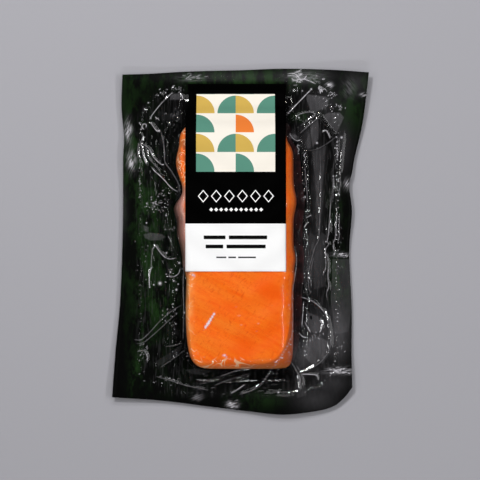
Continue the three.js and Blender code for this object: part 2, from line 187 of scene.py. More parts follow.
def fish_half_width(side, y):
    """The same, closing in a blunt curve at both ends."""
    along = np.clip(np.abs(y - FISH_Y) / HALF_LENGTH, 0, 1)
    blunt = np.where(y > FISH_Y, BLUNT_HEAD[side], BLUNT_TAIL[side])
    return fish_flank(side, y) * (1 - along**blunt) ** (1 / blunt)


def fish_distance(x, y):
    """Distance outside the fish, negative over it."""
    flank = np.where(x < FISH_X, fish_flank(-1, y), fish_flank(1, y))
    return rounded_box_distance(x - FISH_X, y - FISH_Y, flank, HALF_LENGTH, FISH_CORNER)


fish_width = fish_half_width(-1, np.array([0.0])) + fish_half_width(1, np.array([0.0]))
print("fish width at the middle:", round(float(fish_width[0]), 1), "mm")

# %% [markdown]
# ## Heights
# The pack is almost flat, so each skin of it is a height over the table. The backing film is pressed flat
# below the fish and curls up at the rim. The fish is a thick slab with round shoulders. The clear film
# drapes from the fish down to the backing. A cloth simulation could find such a drape, but the real film
# shrank on to the fish without sagging, so a formula gives it more exactly and in no time.

# %% Fish
FISH_BOTTOM = 2.2
FISH_HEIGHT = 22 - FISH_BOTTOM
FLANK = 0.42  # the share of its height at which a side stands up straight
SHOULDER = {"left": 2.8, "right": 10, "head": 14, "tail": 8}  # radii
LEFT_THINNING, HEAD_THINNING = 0.08, 0.22
THINS_FROM, THINS_OVER = 20, 62  # where the fish begins to thin towards its head end
# Low bands of muscle, bent at the spine.
BAND_HEIGHT, BAND_LENGTH, BAND_SLOPE, SPINE_X = 0.35, 3.4, 0.6, 6


def shoulder(inward, radius):
    """A round shoulder: the share of the full height at a distance inward from the edge."""
    t = np.clip(inward / radius, 0, 1)
    return FLANK + (1 - FLANK) * np.sqrt(1 - (1 - t) ** 2)


def fish_top(x, y):
    """The height of the fish's upper face."""
    form = (
        shoulder(fish_half_width(-1, y) + (x - FISH_X), SHOULDER["left"])
        * shoulder(fish_half_width(1, y) - (x - FISH_X), SHOULDER["right"])
        * shoulder(HALF_LENGTH - (y - FISH_Y), SHOULDER["head"])
        * shoulder(HALF_LENGTH + (y - FISH_Y), SHOULDER["tail"])
    )
    to_left = ease((FISH_X - x) / HALF_WIDTH)
    thin = 1 - LEFT_THINNING * to_left - HEAD_THINNING * ease((y - THINS_FROM) / THINS_OVER)
    bands = BAND_HEIGHT * np.sin((y - BAND_SLOPE * np.abs(x - SPINE_X)) / BAND_LENGTH)
    return FISH_BOTTOM + FISH_HEIGHT * form * thin + bands * ease((form - 0.6) / 0.4)


print("fish over the table:", round(float(fish_top(np.array([0.0]), np.array([0.0]))[0]), 1), "mm")

# %% Backing and drape
WEB_TOP = 0.6
POCKET_LIFT, POCKET_FROM, POCKET_REACH = 1.8, 3, 22  # the backing lifts off the table beside the fish
RIM_LIFT, RIM_WIDTH = 0.5, 7
# Where the rim curls up: middle, rise and spread. It begins to curl at a distance from the fish.
CURLS = [
    (86, 112, 3.6, 34), (78, 30, 2.6, 20), (-80, 112, 1.8, 26), (-80, 58, 1.6, 15),
    (-86, -104, 2, 28), (30, -116, 1.8, 22), (76, -92, 2.4, 18),
]
CURL_FROM, CURL_REACH = 6, 20
SKIN_TOP, SKIN_REACH, SKIN_EDGE = 1.9, 6.5, 4  # the skin lies under the film this far past the fish
SKIRT_SIDE, SKIRT_HEAD, SKIRT_TAIL = 7, 18, 8  # how far out the film reaches the backing
SKIRT_BLEND = 14
CLING = 0.25  # the clear film's height over what it clings to
LABEL = {"left": -35.9, "right": 30.2, "bottom": -20.0, "top": 104.1}
# The ramp under the label's head end: from where to where, how high, and how it blends in.
BRIDGE_FROM, BRIDGE_TO, BRIDGE_RISE, BRIDGE_BESIDE = 64, 101, 16.5, 5
BRIDGE_RUN_IN, BRIDGE_BLEND, BRIDGE_FULL = 34, 2, 6


def web_top(x, y):
    """The height of the backing's upper face."""
    off_fish = fish_distance(x, y)
    pocket = POCKET_LIFT * ease((off_fish - POCKET_FROM) / POCKET_REACH)
    rim = RIM_LIFT * ease(pocket_distance(x, y) / RIM_WIDTH + 0.5)
    curl = sum(rise * bell(np.hypot(x - cx, y - cy), spread) for cx, cy, rise, spread in CURLS)
    return WEB_TOP + pocket + rim + curl * ease((off_fish - CURL_FROM) / CURL_REACH)


def bridge(x, y):
    """The label stiffens the film, so past the head end both run down in one smooth ramp."""
    past = np.maximum(np.maximum(LABEL["left"] - x, x - LABEL["right"]), 0)
    run_in = ease((y - BRIDGE_FROM) / BRIDGE_RUN_IN + 1)
    along = run_in * (1 - ease((y - BRIDGE_FROM) / (BRIDGE_TO - BRIDGE_FROM)))
    return BRIDGE_RISE * along * (1 - ease(past / BRIDGE_BESIDE))


def drape(x, y):
    """The clear film without its folds, over the fish, down its skirt, off the skin's edge and on the
    backing."""
    out = fish_distance(x, y)
    flat = web_top(x, y) + CLING + (SKIN_TOP - WEB_TOP) * (1 - ease((out - SKIN_REACH) / SKIN_EDGE))
    at_end = ease((np.abs(y - FISH_Y) - HALF_LENGTH + SKIRT_BLEND) / SKIRT_BLEND)
    skirt = SKIRT_SIDE + (np.where(y > FISH_Y, SKIRT_HEAD, SKIRT_TAIL) - SKIRT_SIDE) * at_end
    near_y = np.clip(y, FISH_Y - HALF_LENGTH, FISH_Y + HALF_LENGTH)
    near_x = np.clip(x, FISH_X - fish_half_width(-1, near_y), FISH_X + fish_half_width(1, near_y))
    on_fish = np.maximum(fish_top(near_x, near_y) + CLING, flat)
    hung = (on_fish - flat) * (1 - ease(np.maximum(out, 0) / skirt))
    ramp = bridge(x, y)
    blend = BRIDGE_BLEND * ease(ramp / BRIDGE_FULL)  # rounds off the line where the two meet
    return flat + (hung + ramp + np.sqrt((hung - ramp) ** 2 + blend**2)) / 2


print("film over the fish's middle:", round(float(drape(np.array([0.0]), np.array([0.0]))[0]), 1), "mm up")

# %% [markdown]
# ## Sheets from a grid
# Film, laminate, flesh and paper all start as the same thing, a flat grid of square cells. A function then
# says where each grid point goes. The rows and columns are bunched where folds are small and spread where
# the film is smooth, as a tailor puts more pins where cloth has to bend.

# %% A grid moved into place
def band_position(stops, cells, index):
    """Where line `index` falls among stops that bound bands of `cells` cells each."""
    place = np.zeros(np.shape(index))
    done = 0
    for band, count in enumerate(cells):
        share = (index - done) / count
        inside = (index >= done) if band else np.full(np.shape(index), True)
        place = np.where(inside, stops[band] + (stops[band + 1] - stops[band]) * share, place)
        done += count
    return place


def positions(mesh):
    """The x, y and z of a mesh's vertices, in millimetres."""
    flat = np.empty(3 * len(mesh.vertices))
    mesh.vertices.foreach_get("co", flat)
    return flat.reshape(-1, 3).T / MM


def move_to(mesh, x, y, z):
    """Moves a mesh's vertices to x, y and z in millimetres."""
    mesh.vertices.foreach_set("co", (np.stack([x, y, z], axis=1) * MM).ravel())
    mesh.update()


def grid_mesh(name, columns, rows, place):
    """A grid whose points are moved by place(column, row) to x, y and z in millimetres."""
    grid = bmesh.new()
    bmesh.ops.create_grid(grid, x_segments=columns, y_segments=rows, size=1)
    mesh = bpy.data.meshes.new(name)
    grid.to_mesh(mesh)
    grid.free()
    u, v, _ = positions(mesh) * MM
    move_to(mesh, *place(np.round((u + 1) / 2 * columns), np.round((v + 1) / 2 * rows)))
    mesh.shade_smooth()
    return mesh


def store(mesh, name, values):
    """Keeps one number for each vertex, for a material to read."""
    mesh.attributes.new(name, "FLOAT", "POINT").data.foreach_set("value", values)


def show(mesh, material, slot, *nodes):
    """Puts a finished mesh in the scene, riding on the pack and standing for its plain solids."""
    piece = bpy.data.objects.new(mesh.name, mesh)
    bpy.context.collection.objects.link(piece)
    mesh.materials.append(material)
    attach(piece, "root")
    if nodes:
        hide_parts(*nodes)
    return piece


# %% The films' grid
TOOTH_ROWS, TOOTH = 4, 0.5  # the blade left a tooth in each fourth row, this deep
ROW_CELLS = [60, 32, 540, 70, 50]  # rows past the foot, down its skirt, over the fish, and so on up
INSET = 2  # the rows and columns change their spacing this far inside the fish's edge
SETTLING_ROUNDS = 6  # a point's column needs its row and the other way round, so they settle in turns


def pack_grid(column_cells, row_cells, column, row):
    """A point of a grid fitted to the pack: outer lines on its edges, inner ones along the fish."""
    head, tail = FISH_Y + HALF_LENGTH, FISH_Y - HALF_LENGTH
    x, y = np.zeros(column.shape), np.zeros(column.shape)
    for _ in range(SETTLING_ROUNDS):
        rows = [bottom_edge(x), tail - SKIRT_TAIL, tail + INSET, head - INSET, head + SKIRT_HEAD, top_edge(x)]
        y = band_position(rows, row_cells, row)
        left, right = FISH_X - fish_flank(-1, y), FISH_X + fish_flank(1, y)
        cut = left_edge(y) - TOOTH * (row % TOOTH_ROWS == 0)
        columns = [cut, left - SKIRT_SIDE, left + INSET, right - INSET, right + SKIRT_SIDE, right_edge(y)]
        x = band_position(columns, column_cells, column)
    return x, y


print("rows of the films:", sum(ROW_CELLS))

# %% [markdown]
# ## Backing laminate
# The base of the pack is a co-extruded laminate of polyamide and polyethylene, dyed black with a little
# green, 0.15 mm thick and glossy. Its left edge was cut by a toothed blade. It could be a plane with a
# Solidify modifier, and it is: a grid bent to the web's height, and given thickness.

# %% Black-green laminate material
def laminate_material():
    """Polyamide and polyethylene laminate, blown and dyed: IOR 1.5, glossy, cloudy green in black."""
    m = new_material("black green laminate")
    where = add(m, "ShaderNodeTexCoord").outputs["Object"]
    drawn = add(m, "ShaderNodeMapping", {"Vector": where, "Scale": (1.0, 0.45, 1.0)})
    # The dye's clouds are 9 mm wide, and twice as long the way the film was blown.
    cloudy = {"Vector": drawn, "Scale": 0.11 / MM, "Detail": 8.0, "Roughness": 0.7}
    tint = add(m, "ShaderNodeValToRGB", {"Fac": add(m, "ShaderNodeTexNoise", cloudy)})
    for stop, place, shade in zip(tint.color_ramp.elements, (0.44, 0.58), ("#050A04", "#213E19")):
        stop.position = place
        stop.color = linear(shade)
    green = add(m, "ShaderNodeAttribute", attribute_name="green").outputs["Fac"]
    base = add(m, "ShaderNodeMix", {0: green, 6: linear("#020202"), 7: tint}, data_type="RGBA")
    looks = {"Base Color": base.outputs[2], "Roughness": 0.4, "IOR": 1.5, "Specular IOR Level": 0.03}
    return finish(m, add(m, "ShaderNodeBsdfPrincipled", looks))


laminate = laminate_material()
print("material:", laminate.name)

# %% Backing film
WEB_THICKNESS = 0.3
WEB_CELLS = [14, 4, 24, 4, 12]
# Where the dye looks green: middle, half-size and strength of each patch.
GREEN = [
    (-50, -42, 7, 8, 1.0), (-69, -92, 3, 14, 0.8), (-72, 70, 10, 36, 0.5), (-62, 25, 14, 34, 0.55),
    (-60, -22, 16, 22, 0.5), (-62, -62, 12, 24, 0.4), (-40, -92, 26, 12, 0.1), (43, 82.5, 6, 3, 0.8),
    (74, 92, 12, 16, 0.5), (67, -22, 7, 16, 0.7), (66, 22, 9, 14, 0.25), (12, -105, 16, 6, 0.4),
    (0, 108, 60, 6, 0.9),
]


def patches(x, y, rows):
    """How strong a tint is at each point, as the sum of soft oval patches."""
    return sum(s * bell(np.hypot((x - a) / w, (y - b) / h), 1) for a, b, w, h, s in rows)


def backing_mesh():
    def place(column, row):
        x, y = pack_grid(WEB_CELLS, ROW_CELLS, column, row)
        return x, y, web_top(x, y)

    return grid_mesh("backing_laminate", sum(WEB_CELLS), sum(ROW_CELLS), place)


backing = show(backing_mesh(), laminate, "backing_film", "backing_film")
x, y, _ = positions(backing.data)
store(backing.data, "green", patches(x, y, GREEN))
thickness = backing.modifiers.new("thickness", "SOLIDIFY")
thickness.thickness = WEB_THICKNESS * MM
thickness.offset = -1
print("backing laminate:", len(backing.data.polygons), "cells")

# %% [markdown]
# ## Salmon
# The portion is raw king salmon, cut straight at both ends with the skin left on below. Its flesh is oily,
# so it is orange rather than pink, and faint pale lines part the muscle flakes. A sculpted mesh would do,
# but the cut form is simple: a grid bent to the fish's top, its rim extruded down and its foot filled.

# %% Salmon flesh material
def flesh_material():
    """Raw salmon flesh, knife cut and frozen: moist, IOR 1.4, a little light passes into it."""
    m = new_material("raw salmon flesh")
    where = add(m, "ShaderNodeTexCoord").outputs["Object"]
    # Muscle fibres show as streaks 2 mm wide and 10 mm long, in a mottle of 11 mm.
    turned = add(m, "ShaderNodeMapping", {"Vector": where, "Rotation": (0, 0, math.radians(28))})
    stretched = add(m, "ShaderNodeMapping", {"Vector": turned, "Scale": (0.2, 1.0, 1.0)})
    streaky = {"Vector": stretched, "Scale": 0.52 / MM, "Detail": 6.0, "Roughness": 0.65}
    fibre = add(m, "ShaderNodeValToRGB", {"Fac": add(m, "ShaderNodeTexNoise", streaky)})
    for stop, place, shade in zip(fibre.color_ramp.elements, (0.32, 0.62), ("#FA5E00", "#FF7812")):
        stop.position = place
        stop.color = linear(shade)
    mottle = add(m, "ShaderNodeTexNoise", {"Vector": stretched, "Scale": 0.09 / MM, "Detail": 4.0})
    light = add(m, "ShaderNodeMath", {0: mottle, 1: 2.6, 2: -1.15}, operation="MULTIPLY_ADD", use_clamp=True)
    # Darker threads, 1.6 mm wide and 5 mm long, cross the fibres.
    crossing = add(m, "ShaderNodeMapping", {"Vector": where, "Rotation": (0, 0, math.radians(-52))})
    drawn = add(m, "ShaderNodeMapping", {"Vector": crossing, "Scale": (0.3, 1.0, 1.0)})
    hairy = {"Vector": drawn, "Scale": 0.62 / MM, "Detail": 6.0, "Distortion": 2.2}
    threads = add(m, "ShaderNodeTexNoise", hairy)
    thread = add(m, "ShaderNodeMath", {0: threads, 1: -6.0, 2: 2.7}, operation="MULTIPLY_ADD", use_clamp=True)
    # Pale lines on the rim stand for a membrane and a painted highlight on it: a thin line where this noise
    # passes its middle value.
    flaky = {"Vector": where, "Scale": 0.095 / MM, "Detail": 1.0, "Distortion": 1.2}
    layers = add(m, "ShaderNodeTexNoise", flaky)
    edge = add(m, "ShaderNodeMath", {0: layers, 1: 0.5, 2: 0.014}, operation="COMPARE")
    pale_rim_share = add(m, "ShaderNodeAttribute", attribute_name="membrane").outputs["Fac"]
    line = add(m, "ShaderNodeMath", {0: edge, 1: pale_rim_share}, operation="MULTIPLY")
    # Each colour is laid over those before it, by the share given here or stored on the mesh.
    colour = fibre
    shares = {
        "#FF8C2C": light,
        "#E85208": thread,
        "#FA5C00": add(m, "ShaderNodeAttribute", attribute_name="deep").outputs["Fac"],
        # painted shade of the flanks and the foot, and darker lumps of flesh by the left rim
        "#B4521F": add(m, "ShaderNodeAttribute", attribute_name="side").outputs["Fac"],
        "#FFA65A": add(m, "ShaderNodeAttribute", attribute_name="pale").outputs["Fac"],
        # pale rim lines: the membrane, with a painted highlight on it
        "#FFD0A4": line,
        # painted shade at the head end's right corner, and a dark notch on the left
        "#1C0E0C": add(m, "ShaderNodeAttribute", attribute_name="dark").outputs["Fac"],
        "#C69A94": add(m, "ShaderNodeAttribute", attribute_name="grey").outputs["Fac"],
    }
    for shade, share in shares.items():
        mix = add(m, "ShaderNodeMix", {0: share, 6: colour, 7: linear(shade)}, data_type="RGBA")
        colour = mix.outputs[2]
    looks = {
        "Base Color": colour,
        "Roughness": 0.45,
        "IOR": 1.4,
        "Specular IOR Level": 0.25,
        "Subsurface Weight": 0.1,
        "Subsurface Scale": 3 * MM,
    }
    return finish(m, add(m, "ShaderNodeBsdfPrincipled", looks))


flesh_finish = flesh_material()
print("material:", flesh_finish.name)

# %% Salmon flesh
FOOT_FLARE = 3.2  # the belly edge spreads this far at its foot
FLARE_FROM, FLARE_TO, FLARE_BLEND = -28, 20, 14
LAST_ROW = 0.9985  # the outline closes to nothing at the very end, so the last row stops just short


def flesh_mesh():
    columns, rows = 110, 220

    def place(column, row):
        # The sine bunches the grid at the shoulders, where the surface turns fastest.
        s = np.sin((column / columns - 0.5) * math.pi)
        t = np.sin((row / rows - 0.5) * math.pi)
        y = FISH_Y + HALF_LENGTH * t * LAST_ROW
        x = FISH_X + s * np.where(s < 0, fish_half_width(-1, y), fish_half_width(1, y))
        return x, y, fish_top(x, y)

    mesh = grid_mesh("salmon_portion", columns, rows, place)
    body = bmesh.new()
    body.from_mesh(mesh)
    rim = [edge for edge in body.edges if edge.is_boundary]
    wall = bmesh.ops.extrude_edge_only(body, edges=rim)["geom"]
    foot = [item for item in wall if isinstance(item, bmesh.types.BMVert)]
    for vert in foot:
        y = vert.co.y / MM
        flare = FOOT_FLARE * ease((y - FLARE_FROM) / FLARE_BLEND) * (1 - ease((y - FLARE_TO) / FLARE_BLEND))
        vert.co.x -= flare * MM * (vert.co.x < 0)
        vert.co.z = FISH_BOTTOM * MM
    edges = [item for item in wall if isinstance(item, bmesh.types.BMEdge)]
    bmesh.ops.edgeloop_fill(body, edges=[edge for edge in edges if all(end in foot for end in edge.verts)])
    bmesh.ops.recalc_face_normals(body, faces=body.faces)
    body.to_mesh(mesh)
    body.free()
    mesh.shade_smooth()
    return mesh


flesh = flesh_mesh()
show(flesh, flesh_finish, "salmon_flesh", "salmon_flesh")
print("flesh:", len(flesh.polygons), "faces")

# %% Tints of the flesh
# Where the flesh is a deeper orange: middle, half-size and strength.
DEEP = [(17, -32, 9, 10, 0.8), (3, -71, 10, 7, 0.8), (-4, -44, 8, 5, 0.4), (24, -52, 6, 22, 0.5)]
LUMP_WIDTH, LUMP_LENGTH = 3, 5
FACE_CORNER = 4.5  # the higher, the squarer the lit face's corners

x, y, z = positions(flesh)
left_in = x - (FISH_X - fish_half_width(-1, y))  # distance in from the left edge
lumps = np.array([noise.noise(Vector((a / LUMP_WIDTH, b / LUMP_LENGTH, 2))) for a, b in zip(x, y)])
foot = z < FISH_BOTTOM + 0.1
upper = ease((y + 15) / 30)
low_left = (x < 0) * ease((2 - y) / 6)
# The left rim and the tail end are paler, in lumps.
rim = bell(left_in, 2.5 + 1.5 * low_left) * (0.3 + 0.7 * low_left * ease((y + 74) / 30))
rim = rim * (0.85 + 0.9 * lumps) + 0.4 * bell(FISH_Y - HALF_LENGTH - y, 3)
store(flesh, "pale", np.where(foot, 0.1 + 0.9 * low_left, np.clip(rim, 0, 1)))
# The pale rim lines, membrane and painted highlight, run along the upper and the lower left edge, and at the
# tail end.
pale_rim_share = ease((11 - left_in) / 6) * ease((y - 8) / 6) + ease((7 - left_in) / 4) * ease((-20 - y) / 6)
pale_rim_share = pale_rim_share + ease((-75 - y) / 4) * ease((14 - x) / 8)
store(flesh, "membrane", np.where(foot, 0, np.clip(0.8 * pale_rim_share, 0, 0.8)))
# Painted shade darkens the right corner of the head end beside the label; a notch on the left edge is dark
# too.
notch = 0.3 * bell(left_in - 0.3, 1.3) * ease((y + 41) / 5) * ease((-22 - y) / 3)
store(flesh, "dark", ease((y - 67) / 3) * ease((x - 26) / 3) + notch)
# Belly membrane greys the left flank beside the label.
store(flesh, "grey", 0.75 * (1 - ease((left_in - 2) / 4)) * ease((41 - y) / 14) * ease((y + 24) / 8))
store(flesh, "deep", patches(x, y, DEEP))
# Painted shade: seen from above, the right flank and the square lower right corner lie outside the lit upper
# face.
across, along = (x - FISH_X) / fish_half_width(1, y), (FISH_Y - y) / HALF_LENGTH
face_edge = np.clip(across, 0, 1) ** FACE_CORNER + np.clip(along, 0, 1) ** FACE_CORNER
edge = 0.9 * ease((face_edge ** (1 / FACE_CORNER) - 0.945) / 0.03) * (across > 0)
# Painted shade in a band beside the label.
label_side_shade = 0.35 * ease((x - 28) / 3) * ease((y + 22) / 4)
# Darker lumps of flesh by the left rim, and the dark notch on the left.
knots = 0.9 * ease(0.5 + 2 * lumps) * ease((12 - left_in) / 6) * upper + 2.6 * notch
shaded = np.maximum.reduce([edge, label_side_shade, knots])
# The steep wall at the foot is painted shade, except at the lower left.
store(flesh, "side", np.where(foot, 0.85 - 0.85 * low_left, shaded))
print("tints:", ", ".join(layer.name for layer in flesh.attributes if layer.data_type == "FLOAT"))

# %% Salmon skin material
def skin_material():
    """Wet scaled skin seen edge on: dark maroon with a little silver in it, IOR 1.4."""
    m = new_material("wet salmon skin")
    where = add(m, "ShaderNodeTexCoord").outputs["Object"]
    # Groups of scales, 6 mm across.
    scales = add(m, "ShaderNodeTexNoise", {"Vector": where, "Scale": 0.16 / MM, "Detail": 3.0})
    tint = add(m, "ShaderNodeValToRGB", {"Fac": scales})
    for stop, place, shade in zip(tint.color_ramp.elements, (0.4, 0.7), ("#14080A", "#38191B")):
        stop.position = place
        stop.color = linear(shade)
    looks = {"Base Color": tint, "Roughness": 0.35, "IOR": 1.4, "Specular IOR Level": 0.2}
    return finish(m, add(m, "ShaderNodeBsdfPrincipled", looks))


skin_node = bpy.data.objects["salmon_skin"]
for slot in skin_node.material_slots:
    slot.material = skin_material()
print("skin:", [slot.material.name for slot in skin_node.material_slots])

# %% [markdown]
# ## Clear film
# The front of the pack is a clear film 0.1 mm thick. Where it has something to cling to it is smooth, and
# beside the fish its spare width stands up in sharp folds. Each fold is pressed into the sheet along a crest
# line. Highlights on the crests and grey reflections on loose film are painted into its colour, and both are
# kept as numbers on the mesh for the material to read.

# %% Fold lines
# A crest's gleam is its painted highlight, and it changes this often.
SHIMMER_STEP = 1.5  # a crest's gleam changes this often


class Fold:
    """A crest line with its height and half-width, and a gleam, a painted highlight that comes and goes along
    it.

    The seed comes from where the crest starts, so a fold gleams the same in every run."""

    def __init__(self, name, height, width, gleam, *crest):
        self.name, self.height, self.width, self.gleam = name, height, width, gleam
        self.crest = curve_through(crest)
        self.length = np.hypot(*np.diff(self.crest, axis=0).T).sum()
        steps = int(self.length / SHIMMER_STEP) + 2
        seed = int(abs(crest[0][0] * 100 + crest[0][1] * 7))
        self.shimmer = np.random.default_rng(seed).uniform(0.4, 1, steps)

    def gleam_at(self, share):
        run = share * self.length / SHIMMER_STEP
        return self.gleam * np.interp(run, np.arange(len(self.shimmer)), self.shimmer)


def curve_through(points, per_span=6):
    """A Catmull-Rom curve through points, as a dense polyline."""
    p = np.array([points[0], *points, points[-1]], dtype=float)
    t = np.linspace(0, 1, per_span, endpoint=False)[:, None]
    spans = []
    for a, b, c, d in zip(p, p[1:], p[2:], p[3:]):
        squared, cubed = 2 * a - 5 * b + 4 * c - d, 3 * b - a - 3 * c + d
        spans.append(0.5 * (2 * b + (c - a) * t + squared * t**2 + cubed * t**3))
    return np.vstack([*spans, p[-1:]])


print("a curve through 3 points has", len(curve_through([(0, 0), (1, 1), (2, 0)])), "points")

# %% Folds on the left
# Each fold: name, height, half-width, gleam (the strength of its painted highlight), and the points of its
# crest.
LEFT_FOLDS = [
    Fold("arch", 0.6, 1.6, 1.1, (-44.9, 98.3), (-47.4, 96.0), (-49.6, 93.7)),
    Fold("arch_leg", 0.7, 1.8, 0.8, (-49.6, 93.7), (-52.7, 90.6), (-58.3, 83.4), (-59.8, 80.3)),
    Fold("arch_hook", 1.2, 2.4, 1.1, (-59.3, 78.7), (-57.4, 75.8), (-55.2, 73.1), (-53.7, 73.1)),
    Fold("squiggle", 0.5, 1.2, 1.2, (-56.0, 82.4), (-55.2, 81.0), (-54.4, 81.4), (-53.7, 80.0)),
    Fold(
        "small_loop", 0.5, 1.2, 1.3,
        (-63.6, 74.0), (-65.0, 75.4), (-64.2, 77.4), (-62.2, 77.2), (-62.4, 74.8)
    ),
    Fold("shoulder_stub", 0.8, 1.4, 1.5, (-39.3, 97.6), (-38.4, 96.2), (-37.8, 94.0)),
    Fold(
        "left_stay", 0.9, 2.4, 0.45,
        (-52.5, 72.5), (-50.9, 66.0), (-50.2, 59.0), (-49.7, 52.3), (-45.7, 46.6), (-41.4, 39.4),
        (-40.0, 35.4), (-41.2, 32.6)
    ),
    Fold("leaf_stub", 0.8, 1.6, 1.5, (-63.9, 69.5), (-64.6, 68.0), (-65.0, 66.4)),
    Fold(
        "leaf_upper", 0.9, 2.0, 1.0,
        (-66.0, 65.4), (-60.3, 61.2), (-57.8, 56.2), (-54.2, 52.4), (-51.6, 50.5), (-50.1, 51.3)
    ),
    Fold("leaf_lower", 0.9, 1.9, 1.0, (-66.0, 65.4), (-64.8, 61.0), (-64.0, 56.2), (-61.9, 50.5)),
    Fold(
        "leaf_tail", 1.1, 2.2, 1.4,
        (-58.6, 48.9), (-56.4, 46.2), (-53.6, 43.8), (-49.7, 39.9), (-45.7, 35.4), (-41.2, 32.6)
    ),
    Fold("leaf_inner", 1.0, 2.0, 0.4, (-62.7, 62.7), (-60.7, 55.4), (-56.8, 50.8), (-52.8, 45.5)),
    Fold("outer_hair", 0.6, 1.4, 0.5, (-67.3, 54.8), (-67.8, 60.0), (-67.0, 65.0)),
    Fold(
        "cup_rim", 1.0, 2.2, 1.1,
        (-58.1, -5.9), (-56.1, -3.3), (-54.1, -5.9), (-50.8, -9.9), (-46.9, -11.9), (-42.2, -11.2)
    ),
    Fold("left_ridge", 0.9, 2.4, 0.5, (-58.1, -4.6), (-58.7, -13.9), (-58.7, -19.1)),
    Fold("left_ridge_glint", 0.8, 1.8, 1.5, (-58.7, -17.0), (-59.8, -21.0), (-60.2, -26.0), (-59.9, -31.0)),
    Fold(
        "foot_line", 0.3, 1.4, 0.45,
        (-38.3, 17.2), (-37.0, 0.7), (-37.0, -13.9), (-37.6, -29.0), (-37.2, -45.0), (-37.6, -65.0)
    ),
    Fold("lower_cup", 1.2, 2.4, 0.8, (-48.8, -23.1), (-44.9, -23.8), (-40.9, -21.8), (-39.6, -17.8)),
    Fold(
        "tuck_upper", 0.7, 2.2, 0.3,
        (-70.0, -65.3), (-65.3, -65.3), (-59.4, -60.1), (-52.8, -52.8), (-44.9, -46.2), (-38.3, -42.2)
    ),
    Fold(
        "tuck_lower", 0.7, 2.0, 0.25,
        (-68.6, -68.0), (-64.0, -67.3), (-58.1, -62.7), (-50.8, -56.1), (-42.2, -48.2)
    ),
    Fold("corner_loop", 1.0, 2.2, 0.6, (-68.0, -73.3), (-64.0, -72.6), (-61.4, -76.6), (-61.4, -80.5)),
    Fold("corner_rib", 0.6, 3.0, 0.2, (-49.5, -70.0), (-43.6, -69.3), (-38.3, -67.3)),
    Fold("lower_rib", 0.7, 3.4, 0.2, (-52.8, -83.8), (-44.9, -78.5), (-36.3, -71.9)),
    Fold(
        "left_hem", 1.0, 2.8, 0.35,
        (-55.4, -89.8), (-46.2, -92.4), (-36.3, -95.7), (-26.4, -97.7), (-21.1, -99.0)
    ),
]
print(len(LEFT_FOLDS), "folds on the left")

# %% Folds at the tail end and below the fish
TAIL_FOLDS = [
    Fold("tail_rib", 1.2, 2.6, 0.5, (-13.2, -89.8), (-7.9, -87.8), (0.0, -85.1), (9.9, -82.5)),
    Fold("tail_rib_low", 1.2, 2.8, 0.3, (-16.5, -95.7), (-6.6, -91.7), (6.6, -87.8)),
    Fold("tail_glint", 0.5, 1.4, 1.1, (-5.9, -101.0), (-1.3, -98.3), (3.3, -95.0)),
    Fold(
        "tail_sweep", 1.1, 2.2, 0.6,
        (0.0, -101.6), (7.9, -99.0), (14.5, -94.4), (22.4, -82.5), (29.7, -71.3), (33.7, -63.4),
        (34.3, -57.4)
    ),
    Fold("tail_post", 1.4, 2.4, 0.55, (33.7, -79.9), (37.0, -85.1), (39.6, -91.7), (39.6, -99.7)),
    Fold("tail_post_twin", 1.2, 2.2, 0.4, (37.6, -82.5), (40.9, -89.1), (42.2, -97.0)),
    Fold(
        "bubble_outer", 1.8, 2.6, 0.7,
        (40.2, -37.0), (45.0, -38.6), (49.0, -40.5), (53.5, -44.4), (57.0, -49.3), (58.8, -55.0)
    ),
    Fold(
        "bubble_rim", 1.4, 2.4, 0.35,
        (58.1, -52.0), (59.6, -60.0), (59.6, -70.5), (54.3, -79.3), (45.5, -85.5), (38.4, -87.3)
    ),
    Fold("bubble_inner", 1.4, 2.2, 0.9, (42.2, -40.3), (41.6, -48.8), (40.9, -57.4)),
    Fold("bubble_glint", 1.2, 2.0, 1.3, (53.5, -51.5), (54.5, -56.1), (52.8, -60.7)),
    Fold("bubble_fork", 1.2, 2.0, 1.1, (42.9, -53.5), (44.9, -57.4), (46.9, -60.7)),
    Fold("bubble_foot", 1.0, 2.0, 1.1, (38.9, -60.7), (41.6, -63.4), (44.2, -64.0)),
    Fold("corner_glint", 1.2, 2.2, 1.3, (40.3, -88.4), (46.2, -88.4), (50.8, -89.1), (52.1, -92.4)),
]
print(len(TAIL_FOLDS), "folds at the tail end")

